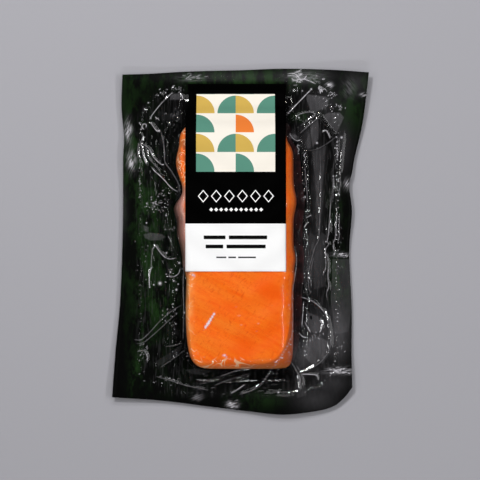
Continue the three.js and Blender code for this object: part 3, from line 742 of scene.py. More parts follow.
# %% Folds on the right
RIGHT_FOLDS = [
    Fold(
        "long_pleat", 0.9, 3.6, 0.3,
        (52.8, 60.1), (53.5, 45.0), (53.5, 29.1), (53.1, 20.5), (52.5, 7.5), (52.1, 0.8), (49.7, -4.0),
        (47.8, -10.8), (45.8, -18.0), (45.4, -26.1), (45.8, -32.3), (47.1, -33.8), (44.4, -36.6)
    ),
    Fold("pleat_twin", 0.8, 1.6, 0.3, (48.9, -10.8), (47.3, -18.0), (46.9, -26.0), (47.3, -31.0)),
    Fold(
        "outer_pleat", 1.1, 2.4, 0.6,
        (60.5, 30.0), (60.0, 24.3), (59.3, 13.3), (58.3, 2.7), (57.8, -0.2), (58.8, -2.1), (56.9, -5.0),
        (56.6, -7.9), (58.1, -11.2), (58.5, -16.5), (58.3, -24.7), (58.8, -30.0), (57.4, -34.7),
        (57.8, -39.0)
    ),
    Fold(
        "outer_pleat_head", 1.0, 2.4, 0.12,
        (65.3, 70.0), (64.0, 60.1), (62.0, 50.2), (61.4, 37.0), (60.5, 30.0)
    ),
    Fold("pleat_branch", 0.8, 1.6, 0.6, (56.6, -7.9), (56.9, -16.5), (55.0, -22.7)),
    Fold("pleat_glint", 0.6, 1.4, 1.6, (56.9, -4.6), (56.5, -7.0), (57.0, -9.4)),
    Fold(
        "rim_beads", 0.8, 1.6, 0.7,
        (64.5, 20.5), (63.8, 11.4), (63.4, 2.7), (62.2, -0.2), (61.9, -4.5), (63.6, -8.8)
    ),
    Fold("rim_hair", 0.5, 1.2, 0.45, (66.0, 18.0), (65.7, 9.9), (65.7, 2.7), (64.8, -0.7)),
    Fold("rim_pleat", 1.0, 2.0, 0.25, (69.3, 73.3), (68.0, 60.1), (66.7, 46.9), (66.0, 30.0)),
    Fold("flank_pleat", 1.0, 2.4, 0.4, (42.9, 49.5), (44.2, 37.0), (44.9, 23.8)),
    Fold("flank_glint", 0.8, 1.6, 1.2, (47.3, 17.1), (45.6, 16.4), (43.9, 15.2)),
    Fold("flank_glint_low", 0.8, 1.6, 1.1, (45.4, 12.8), (44.0, 11.2), (42.5, 8.9)),
    Fold(
        "edge_line", 0.3, 1.4, 0.8,
        (36.5, -4.5), (37.2, -9.8), (37.2, -16.0), (36.5, -21.3), (35.6, -27.0), (35.0, -30.9),
        (34.3, -38.9), (34.8, -50.0), (34.3, -62.0), (34.5, -73.0)
    ),
    Fold("star_head", 0.8, 1.8, 1.6, (30.6, 82.9), (36.0, 89.0), (41.6, 94.8), (47.1, 100.4)),
    Fold("star_long", 1.6, 2.4, 0.5, (39.7, 71.2), (45.5, 76.6), (51.9, 81.8)),
    Fold("star_right", 1.6, 2.2, 0.0, (51.9, 85.0), (57.4, 77.6), (63.0, 70.2)),
    Fold("star_foot", 0.7, 2.4, 0.2, (64.0, 69.3), (56.8, 64.0), (50.2, 60.7), (44.9, 60.1)),
    Fold("star_glint", 0.8, 1.4, 1.3, (54.5, 72.3), (57.4, 73.0), (59.8, 68.0)),
    Fold(
        "oval_rim", 0.9, 1.6, 0.6,
        (37.0, 80.2), (37.8, 82.9), (41.3, 84.7), (46.5, 85.5), (49.2, 84.5), (48.6, 82.3), (44.9, 80.2),
        (40.4, 76.5)
    ),
    Fold("top_line", 0.6, 1.4, 1.2, (42.2, 107.3), (46.0, 106.0), (50.2, 104.1)),
    Fold("wiggle_left", 0.5, 1.2, 0.9, (38.6, 64.3), (37.9, 62.4), (39.1, 60.6), (38.2, 58.5)),
    Fold("wiggle_right", 0.5, 1.2, 0.8, (44.2, 59.0), (42.4, 56.8), (43.6, 54.6), (41.9, 52.0)),
    Fold("head_curl", 0.3, 1.4, 0.9, (32.5, 71.0), (34.5, 68.6), (37.5, 66.6), (40.5, 67.2)),
]
FOLDS = LEFT_FOLDS + TAIL_FOLDS + RIGHT_FOLDS
print(len(FOLDS), "folds, the highest is", max(FOLDS, key=lambda fold: fold.height).name)

# %% Film pressed along its folds
# The painted highlight on a crest is this wide.
HIGHLIGHT_WIDTH = 0.22  # how wide the milky line on a crest is
FOLD_RISE = 0.5  # the folds stand this share of their height on the drape
FOLD_MARGIN = 1.1  # a fold is looked for this many half-widths from its crest
SHARP_CREST = 0.05  # rounds off the crest's very edge
# A fold broader than this parts the painted grey beside it with a dark line.
BROAD_FOLD, LINE_WIDTH = 1.5, 0.8  # a fold broader than this parts the grey facets beside it
LABEL_BLEND = 2.5  # the label holds the film smooth, and lets go of it over this distance


def near_box(x, y, corners, margin):
    """Which points lie in the box round some corners, with a margin."""
    low, high = np.min(corners, axis=0) - margin, np.max(corners, axis=0) + margin
    return np.flatnonzero((x > low[0]) & (x < high[0]) & (y > low[1]) & (y < high[1]))


def distance_to_line(x, y, line):
    """Distance from each point to a polyline, and how far along it the nearest place is, from 0 to 1."""
    nearest, along = np.full(x.shape, 1e9), np.zeros(x.shape)
    steps = len(line) - 1
    for i, (a, b) in enumerate(zip(line, line[1:])):
        span = b - a
        t = np.clip(((x - a[0]) * span[0] + (y - a[1]) * span[1]) / max(span @ span, 1e-9), 0, 1)
        d = np.hypot(x - a[0] - t * span[0], y - a[1] - t * span[1])
        closer = d < nearest
        nearest, along = np.where(closer, d, nearest), np.where(closer, (i + t) / steps, along)
    return nearest, along


def press_folds(x, y, folds):
    """The height of the folds over the drape, the painted highlight on each crest, and where a fold line
    runs.
    """
    height, painted_highlight, fold_line = np.zeros(x.shape), np.zeros(x.shape), np.zeros(x.shape)
    for fold in folds:
        near = near_box(x, y, fold.crest, FOLD_MARGIN * fold.width)
        if not len(near):
            continue
        d, along = distance_to_line(x[near], y[near], fold.crest)
        dying = ease(np.minimum(along, 1 - along) * 5 + 0.25)  # a fold fades towards both its ends
        tent = np.clip(1 - np.sqrt(d**2 + SHARP_CREST) / fold.width, 0, 1) ** 1.5
        height[near] = np.maximum(height[near], FOLD_RISE * fold.height * tent * dying)
        painted_highlight[near] = np.maximum(painted_highlight[near], fold.gleam_at(along) * bell(d, HIGHLIGHT_WIDTH) * dying)
        if fold.width > BROAD_FOLD:
            fold_line[near] = np.maximum(fold_line[near], bell(d, LINE_WIDTH) * dying)
    return height, painted_highlight, fold_line


def under_label(x, y):
    """1 where the label lies on the film, 0 a little past its edges."""
    past_x = np.maximum(LABEL["left"] - x, x - LABEL["right"])
    past_y = np.maximum(LABEL["bottom"] - y, y - LABEL["top"])
    return 1 - ease(np.maximum(past_x, past_y) / LABEL_BLEND)


def crumple(x, y, size_x, size_y, seed):
    """Soft noise from -1 to 1 whose lumps are size_x by size_y millimetres."""
    return np.array([noise.noise(Vector((a, b, seed))) for a, b in zip(x / size_x, y / size_y)])


tested = press_folds(*FOLDS[0].crest.T, FOLDS)
print("the first fold stands up to", round(float(tested[0].max()), 2), "mm on the drape")

# %% [markdown]
# ## Crinkles and painted light in the film
# Between the folds the film is full of small creases, too many to draw one by one. Modelling each by hand
# would take days, so they are scattered in clusters, from seeds that never change. The grey reflections,
# bright glints and sheens of loose film are painted: those are tints, not forms, so they are lists of places
# for the material.

# %% Crinkles
CRINKLE_WIDTH = 1.3
# Each cluster of crinkles: middle, half-size, number, length, direction in degrees, height and gleam, the
# strength of its painted highlight.
CRINKLES = [
    (-56, 24, 7, 4.5, 34, 1.5, 0, 0.5, 1.49),
    (-51, 30, 4, 4, 12, 1.5, 30, 0.5, 1.24),
    (-45, 8, 3, 5, 9, 1.4, 0, 0.5, 1.36),
    (-66.5, 40, 0.5, 16, 18, 1.0, 90, 0.4, 0.87),
    (-46, -49, 7, 8, 24, 1.5, 60, 0.5, 1.12),
    (-46, -20, 6, 7, 16, 1.4, 0, 0.5, 1.12),
    (-64, -14, 5, 10, 12, 1.3, 90, 0.4, 0.68),
    (-64, -73, 5, 6, 16, 2.2, 30, 0.5, 0.74),
    (-45, -92, 12, 3, 14, 1.8, 160, 0.5, 0.93),
    (-41, 101, 7, 4, 14, 1.6, 30, 0.5, 0.99),
    (-50, 86, 9, 8, 6, 2.0, 50, 0.5, 0.5),
    (-43, 82, 6, 7, 12, 3.4, 60, 0.5, 0.25),
    (38.5, 109, 4.2, 3.2, 34, 6.0, 178, 0.2, 1.36),
    (50, 108, 6, 3, 14, 3.0, 165, 0.3, 0.87),
    (53.5, 100.5, 2.4, 2.2, 24, 2.2, 120, 0.3, 1.61),
    (60.7, 96.5, 2.6, 2.4, 20, 1.2, 40, 0.3, 1.49),
    (66, 87.7, 3, 2.6, 20, 1.6, 120, 0.3, 1.12),
    (57, 91, 4, 4, 4, 2.0, 60, 0.4, 0.31),
    (64.4, 60, 0.5, 7, 26, 1.0, 90, 0.2, 1.49),
    (61.9, 33, 0.4, 7, 16, 1.2, 90, 0.2, 1.12),
    (60, 8, 5, 30, 8, 5.0, 87, 0.3, 0.25),
    (38.5, 61, 0.7, 3, 8, 1.2, 80, 0.2, 1.24),
    (42.5, 31, 1.6, 8, 14, 1.4, 80, 0.3, 0.99),
    (39.5, 3, 1, 10, 10, 1.4, 84, 0.2, 0.87),
    (68, -20, 4, 20, 6, 2.2, 100, 0.3, 0.31),
    (67.5, -9, 5.5, 1.2, 20, 2.2, 4, 0.3, 1.24),
    (65, -86, 8, 2.0, 34, 3.0, 8, 0.3, 1.12),
    (68, -69, 4, 4, 8, 2.2, 60, 0.3, 0.62),
    (-5, -108, 4, 2, 16, 1.6, 20, 0.3, 1.36),
    (-30, 108.5, 7, 1.8, 18, 4.0, 2, 0.3, 0.74),
    (47, -62, 7, 9, 16, 2.2, 110, 0.5, 0.62),
    (20, -93, 14, 7, 14, 3.0, 30, 0.5, 0.43),
    (-20, -93, 14, 5, 12, 3.4, 12, 0.5, 0.37),
]
# Crinkles in the film over the fish itself are far lower.
FISH_CRINKLES = [
    (32, -45, 3, 22, 18, 1.8, 95, 0.15, 0.5),
    (33, -76, 2, 5, 10, 1.2, 130, 0.2, 1.1),
    (-32, -76, 5, 4, 12, 1.6, 140, 0.15, 0.5),
    (0, -50, 30, 26, 8, 1.4, 60, 0.12, 0.5),
    (-38, 47, 4, 18, 16, 1.4, 80, 0.15, 0.6),
]


def crinkle_folds(clusters, rng):
    """Short creases scattered in each cluster, every one with its own length, bend and gleam."""
    folds = []
    for x, y, half_x, half_y, count, length, turn, height, gleam in clusters:
        for _ in range(count):
            cx, cy = x + half_x * rng.normal(0, 0.55), y + half_y * rng.normal(0, 0.55)
            angle = math.radians(turn + rng.normal(0, 22))
            half = length * rng.uniform(0.35, 0.9) / 2
            dx, dy = half * math.cos(angle), half * math.sin(angle)
            bend = half * rng.uniform(-0.5, 0.5)
            middle = (cx - bend * math.sin(angle), cy + bend * math.cos(angle))
            crest = [(cx - dx, cy - dy), middle, (cx + dx, cy + dy)]
            height_here, gleam_here = height * rng.uniform(0.5, 1), gleam * rng.uniform(0.1, 1)
            folds.append(Fold("crinkle", height_here, CRINKLE_WIDTH, gleam_here, *crest))
    return folds


print("clusters of crinkles:", len(CRINKLES), "in loose film and", len(FISH_CRINKLES), "over the fish")

# %% Puckers along the seal
PUCKER_SPACING, PUCKER_WIDTH = 2.6, 1.1
# The strengths of the puckers' painted highlights.
PUCKER_GLEAMS = [0, 0, 0.2, 0.5, 1.2]  # one is drawn for each pucker
PUCKER_CALM_BELOW = 45  # on the left the seal is calm below this height


def pointing(degrees):
    """A step of one millimetre in a direction."""
    return np.array([math.cos(math.radians(degrees)), math.sin(math.radians(degrees))])


def pocket_outline(spacing):
    """Points along the pocket's rounded rectangle, each with the direction that points out of it."""
    corner = POCKET["corner"]
    left, right = POCKET["left"] + corner, POCKET["right"] - corner
    bottom, top = POCKET["bottom"] + corner, POCKET["top"] - corner
    corners = [(right, top, 0), (left, top, 90), (left, bottom, 180), (right, bottom, 270)]
    places = []
    for (cx, cy, start), (nx, ny, _) in zip(corners, corners[1:] + corners[:1]):
        middle = np.array([cx, cy])
        for turn in np.arange(start, start + 90, math.degrees(spacing / corner)):
            out = pointing(turn)
            places.append((middle + corner * out, out))
        out = pointing(start + 90)
        side = math.hypot(nx - cx, ny - cy)
        for step in np.arange(0, side, spacing):
            places.append((middle + corner * out + np.array([nx - cx, ny - cy]) / side * step, out))
    return places


def pucker_folds(rng):
    """The seal gathers the pocket's edge into a row of tiny puckers."""
    folds = []
    for place, out in pocket_outline(PUCKER_SPACING):
        shift, length = rng.uniform(-1.4, 0.8), rng.uniform(0.3, 1.4)
        start = place + out * shift
        calm = start[0] < 0 and start[1] < PUCKER_CALM_BELOW
        gleam = rng.choice(PUCKER_GLEAMS) * (0.12 if calm else 1)
        height = rng.uniform(0.3, 0.8) * (0.4 if calm else 1)
        folds.append(Fold("pucker", height, PUCKER_WIDTH, gleam, start, start - out * length))
    return folds


print("puckers along the seal:", len(pocket_outline(PUCKER_SPACING)))

# %% Grey facets, painted
# Painted reflection: a flat facet of film between two folds would mirror the bright room as one even grey,
# and that grey is painted. Each: strength, corners.
FACETS = [
    # The first three are painted highlights on the film over the fish.
    (16.0, [(-16.2, -46), (-16.6, -47.8), (-20.4, -54.6), (-23.4, -58.4), (-23, -56), (-19.8, -51.2)]),
    (5.00, [(-32.4, -20.8), (-30.8, -20.6), (-29.0, -23.4), (-30.4, -24.2)]),
    (5.00, [(-11.6, -74.0), (-8.0, -75.8), (-8.6, -76.6), (-11.6, -75.4)]),
    (0.80, [(44.4, 97.2), (56.6, 95.6), (58.7, 94), (57.9, 89.2), (50.3, 85.5), (46.5, 86.6), (44.2, 94)]),
    (0.85, [(54.6, 82.9), (58.7, 85), (66.2, 85), (68.8, 81.8), (64, 71.2), (60.2, 75.4), (57, 79.4)]),
    (0.70, [(46.5, 77.6), (51.4, 80.2), (52.2, 76.7), (51.9, 67.5), (48.1, 62.2), (47.1, 71.2)]),
    (0.55, [(43.4, 64.8), (46, 71.7), (47.1, 65.9), (47.3, 61.6), (44.4, 61.1)]),
    (0.35, [(47.6, 59.5), (57.2, 63.2), (56.6, 57.4), (54.6, 33.7), (53.5, 6), (50.5, 6), (50.5, 33.7)]),
    (0.30, [(54, 6), (58, 3), (56, -6), (57, -30), (49, -32), (49.5, -6)]),
    (0.25, [(46.5, 6), (51, 2), (46.5, -12), (44.5, -30), (41.5, -28), (42.5, -4)]),
    (0.45, [(61, -12), (73, -12), (75, -36), (72, -60), (63, -62), (60, -37), (61, -24)]),
    (0.70, [(43.5, -64.5), (52, -63.5), (58.5, -66.5), (60, -74), (55, -81), (48, -82.5), (42.5, -76)]),
    (0.60, [(44, -47), (52, -50), (54, -58), (50, -62), (45, -58)]),
    (0.80, [(-64, 4.4), (-59.5, 5.4), (-52, 4.6), (-49.4, 2.6), (-52.8, 0.6), (-59.5, 0.4), (-63, 2)]),
    (0.80, [(-64, 10.5), (-60.5, 9), (-60.8, 5.6), (-63.8, 6.8)]),
    (0.90, [(-46, 97.2), (-38.3, 98), (-38.3, 93.8), (-46.5, 93.6)]),
    (0.12, [(-53.5, 86), (-45, 84), (-38.5, 86.5), (-38.5, 78), (-45, 80), (-52, 80)]),
    (0.30, [(36, -90), (43, -90), (44, -102), (38, -104)]),
    (0.30, [(-36, -85.5), (-28, -84.6), (-18, -86), (-24, -88.6), (-33, -88)]),
    (0.22, [(-56, -80), (-46, -74), (-38, -68), (-40, -74), (-48, -80), (-54, -83)]),
]
FACET_MARGIN = 1  # a facet is looked for this far round its corners
# The painted grey is darker at a facet's foot, and its edge is this wide.
FACET_FALL, FACET_EDGE = 0.3, 0.8  # how much darker its foot is, and how wide its edge


def inside_polygon(x, y, corners):
    """Even-odd rule: True where a ray to the right crosses the outline an odd number of times."""
    inside = np.full(x.shape, False)
    for (ax, ay), (bx, by) in zip(corners, corners[1:] + corners[:1]):
        if ay != by:
            crosses = ((ay > y) != (by > y)) & (x < ax + (y - ay) / (by - ay) * (bx - ax))
            inside ^= crosses
    return inside


def painted_facet_grey(x, y):
    """The painted grey reflection, facet by facet, each with a crisp edge and a slow fall across it."""
    painted_grey = np.zeros(x.shape)
    for strength, corners in FACETS:
        near = near_box(x, y, corners, FACET_MARGIN)
        if not len(near):
            continue
        outline = np.array(corners + corners[:1], dtype=float)
        d, _ = distance_to_line(x[near], y[near], outline)
        d = np.where(inside_polygon(x[near], y[near], corners), d, -d)
        low, high = outline[:, 1].min() - FACET_MARGIN, outline[:, 1].max() + FACET_MARGIN
        fall = 1 - FACET_FALL * (high - y[near]) / (high - low)
        painted_grey[near] = np.maximum(painted_grey[near], strength * fall * ease(d / FACET_EDGE + 0.5))
    return painted_grey


print(len(FACETS), "facets")

# %% Painted sheens, grey reflections and beads
# Patches of painted sheen on the film, in fine hairs. Each: middle, half-size, direction of the hairs,
# strength.
SHEENS = [
    (-74, 73, 2.2, 6.5, 66, 1.0),
    (-72, 53, 2.6, 6.0, 66, 1.0),
    (-32, 107.5, 8, 2.0, 3, 0.22),
    (35, 69, 3, 2, 140, 0.35),
    (-28.6, -103.5, 3.2, 2.2, 20, 0.3),
    (43, 108.8, 11, 3.0, 4, 0.22),
    (59, 103, 2.2, 1.8, 30, 1.0),
    (72, 101, 4, 6, 130, 0.12),
    (81.8, 96.7, 2.2, 1.2, 20, 0.8),
    (71, 37.6, 2.2, 3.2, 60, 0.8),
    (67.5, -9, 5.5, 1.4, 5, 0.6),
    (66, -86, 9, 2.2, 8, 0.7),
    (-5, -108.4, 3.4, 2.2, 20, 0.9),
]
SHEEN_REACH, HAIR_LENGTH, HAIR_WIDTH = 2.2, 4.5, 0.6
# Painted grey reflection where loose film stands off the backing. Each: middle, half-size, strength.
VEILS = [
    (52, 34, 3.5, 24, 0.35), (49, -14, 6, 18, 0.35), (45, 70, 5, 9, 0.3), (56, 92, 11, 9, 0.3),
    (40, -76, 7, 9, 0.9), (52, -62, 9, 16, 0.5), (66, -62, 6, 16, 0.8), (67, 62, 4, 14, 0.2),
    (62, -94, 9, 6, 0.4), (50, -105, 13, 7, 0.45), (-79, 22, 3.5, 16, 0.35), (44, 109, 14, 5, 0.5),
    (-5, 109, 40, 3.5, 0.35), (77, 104, 8, 8, 0.35), (70, 66, 5, 18, 0.2),
]
# Painted highlights: small bright beads where the film is pinched. Each: place and radius.
BEADS = [
    (-52.6, 98.3, 0.35), (-49.3, 98.3, 0.35), (-60.8, 91.6, 0.35), (-63.2, 87.5, 0.35), (-66.5, 78.2, 0.35),
    (-44.4, 102.4, 0.35), (-53.7, 73.1, 0.6), (39.1, 81.8, 0.4), (51.0, 65.0, 0.55), (61.8, 43.0, 0.4),
    (67.3, 68.6, 0.6), (-10.0, -74.7, 0.55), (-30.6, -22.2, 0.6), (-0.8, -48.9, 0.4), (57.0, -0.4, 0.35),
    (58.4, 103.6, 0.55), (47.2, 100.6, 0.5), (-59.9, -30.6, 0.4), (34.9, -59.4, 0.4), (33.4, -68.0, 0.4),
    (-53.1, -28.1, 0.9), (-48.8, -7.9, 0.5), (-40.3, -14.5, 0.6), (-44.0, -26.4, 0.5), (-42.2, -32.3, 0.6),
    (-46.2, -20.6, 0.5), (-41.0, -28.6, 0.4), (-57.2, -29.0, 0.4), (-49.0, 17.0, 0.5), (-62.0, 12.0, 0.4),
    (31.8, -73.0, 0.35), (27.6, -76.6, 0.4), (23.4, -79.4, 0.35),
]


def sheen(x, y):
    """Fine bright hairs of painted sheen in each patch."""
    bright = np.zeros(x.shape)
    for cx, cy, half_x, half_y, turn, strength in SHEENS:
        near = np.flatnonzero(np.hypot((x - cx) / half_x, (y - cy) / half_y) < SHEEN_REACH)
        if not len(near):
            continue
        c, s = math.cos(math.radians(turn)), math.sin(math.radians(turn))
        dx, dy = x[near] - cx, y[near] - cy
        hairs = crumple(dx * c + dy * s, dy * c - dx * s, HAIR_LENGTH, HAIR_WIDTH, cx)
        patch = bell(np.hypot(dx / half_x, dy / half_y), 0.9)
        bright[near] += strength * patch * ease(0.45 + 1.4 * hairs)
    return bright


def beads(x, y):
    """The painted highlights of the beads, as round spots."""
    bright = np.zeros(x.shape)
    for cx, cy, radius in BEADS:
        bright = np.maximum(bright, bell(np.hypot(x - cx, y - cy), radius))
    return bright


print(len(SHEENS), "scuffs,", len(VEILS), "veils and", len(BEADS), "beads")

# %% Clear film mesh
FILM_CELLS = [210, 34, 60, 34, 210]  # columns beside the fish, down its skirt, over it, and so on
LEFT_PART, MIDDLE_PART = sum(FILM_CELLS[:2]), FILM_CELLS[2]
FILM_STRIPS = {
    "clear_film_left_rim": (0, LEFT_PART // 2),
    "clear_film_left": (LEFT_PART // 2, LEFT_PART),
    "clear_film_middle": (LEFT_PART, LEFT_PART + MIDDLE_PART),
    "clear_film_right": (LEFT_PART + MIDDLE_PART, sum(FILM_CELLS) - LEFT_PART // 2),
    "clear_film_right_rim": (sum(FILM_CELLS) - LEFT_PART // 2, sum(FILM_CELLS)),
}
CLING_REACH, CLING_EDGE = 8, 5  # the film touches what is under it this far past the fish


def film_strip(name, first, last, folds):
    """The film between two columns of its grid. In strips, no mesh grows too heavy."""

    def place(column, row):
        x, y = pack_grid(FILM_CELLS, ROW_CELLS, column + first, row)
        return x, y, drape(x, y)

    mesh = grid_mesh(name, last - first, sum(ROW_CELLS), place)
    x, y, z = positions(mesh)
    in_pocket = 1 - ease(pocket_distance(x, y) / 4)
    bare = 1 - under_label(x, y)
    off_fish = fish_distance(x, y)
    beside = ease(off_fish / 4 + 0.6)
    height, painted_highlight, fold_line = press_folds(x, y, folds)
    broad, fine = crumple(x, y, 5, 11, 3.1), crumple(x, y, 1.6, 3.4, 7.7)
    hairs = crumple(x, y, 0.7, 7, 1.3)
    calm_tail = 1 - 0.65 * ease((-84 - y) / 4)
    calm_left = 1 - 0.7 * ease((-50 - x) / 8) * ease((45 - y) / 10)
    # Soft wrinkles beside the fish, and a faint one everywhere, then the hem where the seal begins.
    wrinkle = (0.28 * broad + 0.1 * fine) * beside * in_pocket * calm_tail + 0.03 * fine
    hem = 0.1 * bell(pocket_distance(x, y) + 0.5, 1.3) * (0.3 + 1.2 * fine) * calm_tail * calm_left
    move_to(mesh, x, y, z + bare * (height + wrinkle + hem))
    # Painted grey reflections: facets parted by dark lines at broad folds, streaks of painted sheen, and soft
    # patches.
    facets = painted_facet_grey(x, y) * (1 - 0.85 * fold_line)
    streaks = 0.2 * ease((hairs - 0.1) * 3) * beside * in_pocket
    # Painted highlights: on the crests, in the beads and in the sheens.
    store(mesh, "painted_highlight", np.clip(np.maximum(painted_highlight, beads(x, y)) + sheen(x, y), 0, 1) * bare)
    store(mesh, "painted_grey", (facets + streaks + patches(x, y, VEILS)) * (1 + 0.2 * fine) * bare)
    store(mesh, "cling", 1 - ease((off_fish - CLING_REACH) / CLING_EDGE))
    return mesh


print("widest strip:", max(last - first for first, last in FILM_STRIPS.values()), "columns")

# %% [markdown]
# ## The film's finish
# Clear film sends light straight through, and mirrors the room the more it is seen edge on. A glass material
# would bend light, which a film this thin does not do. So a transparent and a glossy shader are mixed by the
# angle, and a white matt one paints on the highlights and grey reflections stored on the mesh.

# %% Clear film material
def film_material():
    """Polyamide film, cast and heat sealed, IOR 1.5. One sheet here stands for a film with two faces,
    which reflect 8% of what falls straight on them, and all of what only grazes them."""
    m = new_material("clear film")
    painted_highlight = add(m, "ShaderNodeAttribute", attribute_name="painted_highlight").outputs["Fac"]
    painted_grey = add(m, "ShaderNodeAttribute", attribute_name="painted_grey").outputs["Fac"]
    cling = add(m, "ShaderNodeAttribute", attribute_name="cling").outputs["Fac"]
    facing = add(m, "ShaderNodeLayerWeight", {"Blend": 0.5}).outputs["Facing"]
    grazing = add(m, "ShaderNodeMath", {0: facing, 1: 5.0}, operation="POWER")
    mirror = add(m, "ShaderNodeMath", {0: grazing, 1: 0.92, 2: 0.08}, operation="MULTIPLY_ADD")
    # Film that clings to something mirrors far less, because no air lies between the two.
    loose = add(m, "ShaderNodeMath", {0: cling, 1: -0.85, 2: 1.0}, operation="MULTIPLY_ADD")
    mirror = add(m, "ShaderNodeMath", {0: mirror, 1: loose}, operation="MULTIPLY")
    clear = add(m, "ShaderNodeBsdfTransparent", {"Color": linear("#FFFFFF")})
    gloss = add(m, "ShaderNodeBsdfAnisotropic", {"Color": linear("#FFFFFF"), "Roughness": 0.06})
    body = add(m, "ShaderNodeMixShader", {0: mirror, 1: clear, 2: gloss})
    # A white matt shader paints the highlights on the crests and the grey reflections of loose film.
    painted_light = add(m, "ShaderNodeBsdfDiffuse", {"Color": linear("#F3F0F7")})
    highlight_share = add(m, "ShaderNodeMath", {0: painted_highlight, 1: 0.7}, operation="MULTIPLY")
    painted_share = add(m, "ShaderNodeMath", {0: painted_grey, 1: 0.07, 2: highlight_share}, operation="MULTIPLY_ADD")
    return finish(m, add(m, "ShaderNodeMixShader", {0: painted_share, 1: body, 2: painted_light}))


film_finish = film_material()
print("material:", film_finish.name)

# %% Clear film
rng = np.random.default_rng(11)
film_folds = FOLDS + crinkle_folds(CRINKLES + FISH_CRINKLES, rng) + pucker_folds(rng)
for name, (first, last) in FILM_STRIPS.items():
    strip = show(film_strip(name, first, last, film_folds), film_finish, "clear_film", "front_film")
    print(name, len(strip.data.polygons), "cells")
print("folds, crinkles and puckers:", len(film_folds))

# %% [markdown]
# ## Label
# The label is a sticker of coated paper on the outside of the film. It is one draped sheet, and its print
# is drawn by its material from the label's own x and y, so that every edge of a colour field is crisp.

# %% Label
LABEL_REST = 2.2  # the stiff paper rests on the fish up to this far from its rim, and droops past it
LABEL_DROOP = 0.12
LABEL_LIFT = 0.35  # the paper's upper face over the film
PAPER_THICKNESS = 0.12


def label_mesh():
    columns, rows = 60, 150

    def place(column, row):
        x = LABEL["left"] + (LABEL["right"] - LABEL["left"]) * column / columns
        y = LABEL["bottom"] + (LABEL["top"] - LABEL["bottom"]) * row / rows
        rest = np.maximum(x, FISH_X - fish_flank(-1, y) + LABEL_REST)
        return x, y, drape(rest, y) + LABEL_LIFT - LABEL_DROOP * (rest - x) ** 2

    return grid_mesh("paper_label", columns, rows, place)


paper = label_mesh()
print("label:", len(paper.polygons), "cells")

# %% [markdown]
# ## The label's print
# Offset printing lays flat inks one over the other, and the material does the same. A mask is 1 where an
# ink goes and 0 elsewhere. It is worked out from the place on the paper, so no picture file is needed.

# %% Inks laid over one another
class Print:
    """Colour fields laid one over the other by a material, in the label's own millimetres."""

    def __init__(self, material, ground):
        self.material = material
        where = add(material, "ShaderNodeTexCoord").outputs["Object"]
        metres = add(material, "ShaderNodeSeparateXYZ", {"Vector": where}).outputs
        self.x = add(material, "ShaderNodeMath", {0: metres["X"], 1: 1 / MM}, operation="MULTIPLY")
        self.y = add(material, "ShaderNodeMath", {0: metres["Y"], 1: 1 / MM}, operation="MULTIPLY")
        self.colour = linear(ground)

    def lay(self, hex_colour, mask, *more_masks):
        """Prints a flat colour where all the masks are 1."""
        for other in more_masks:
            mask = add(self.material, "ShaderNodeMath", {0: mask, 1: other}, operation="MULTIPLY")
        inks = {0: mask, 6: self.colour, 7: linear(hex_colour)}
        self.colour = add(self.material, "ShaderNodeMix", inks, data_type="RGBA").outputs[2]

    def box(self, left, right, bottom, top):
        """Two masks that are both 1 only inside a rectangle."""
        masks = []
        for place, low, high in ((self.x, left, right), (self.y, bottom, top)):
            reach = {0: place, 1: (low + high) / 2, 2: (high - low) / 2}
            masks.append(add(self.material, "ShaderNodeMath", reach, operation="COMPARE"))
        return masks


print("label:", round(LABEL["right"] - LABEL["left"], 1), "mm wide")

# %% Rows of lozenges
LOZENGE_WIDTH = 0.82  # the share of its place in the row that a lozenge takes


def lozenge_row(ink, left, right, bottom, top, count, line):
    """Masks of a row of lozenges, as outlines of a given line width or filled where that is 0."""
    m = ink.material
    half_x, half_y = (right - left) / count / 2, (top - bottom) / 2
    from_first = add(m, "ShaderNodeMath", {0: ink.x, 1: left + half_x}, operation="SUBTRACT")
    across = add(m, "ShaderNodeMath", {0: from_first, 1: half_x}, operation="PINGPONG")
    from_middle = add(m, "ShaderNodeMath", {0: ink.y, 1: (bottom + top) / 2}, operation="SUBTRACT")
    along = add(m, "ShaderNodeMath", {0: from_middle}, operation="ABSOLUTE")
    across = add(m, "ShaderNodeMath", {0: across, 1: half_x * LOZENGE_WIDTH}, operation="DIVIDE")
    along = add(m, "ShaderNodeMath", {0: along, 1: half_y}, operation="DIVIDE")
    size = add(m, "ShaderNodeMath", {0: across, 1: along}, operation="ADD")
    inner = 1 - line / min(half_x, half_y) if line else 0
    band = {0: size, 1: (1 + inner) / 2, 2: (1 - inner) / 2}
    return [add(m, "ShaderNodeMath", band, operation="COMPARE"), *ink.box(left, right, bottom - 1, top + 1)]


# Each row: left, right, bottom, top, number and line width.
LOZENGES = [(-28.4, 23.0, 25.2, 33.6, 6, 0.9), (-20.5, 15.5, 19.3, 21.9, 11, 0)]
print(len(LOZENGES), "rows of lozenges")

# %% A quilt of quarter rounds
PICTURE = {"left": -28.8, "right": 23.1, "bottom": 45.4, "top": 97.4}
TILE = (PICTURE["right"] - PICTURE["left"]) / 4
ROUND_SIZE = 0.86  # a quarter round's radius in tiles, squared


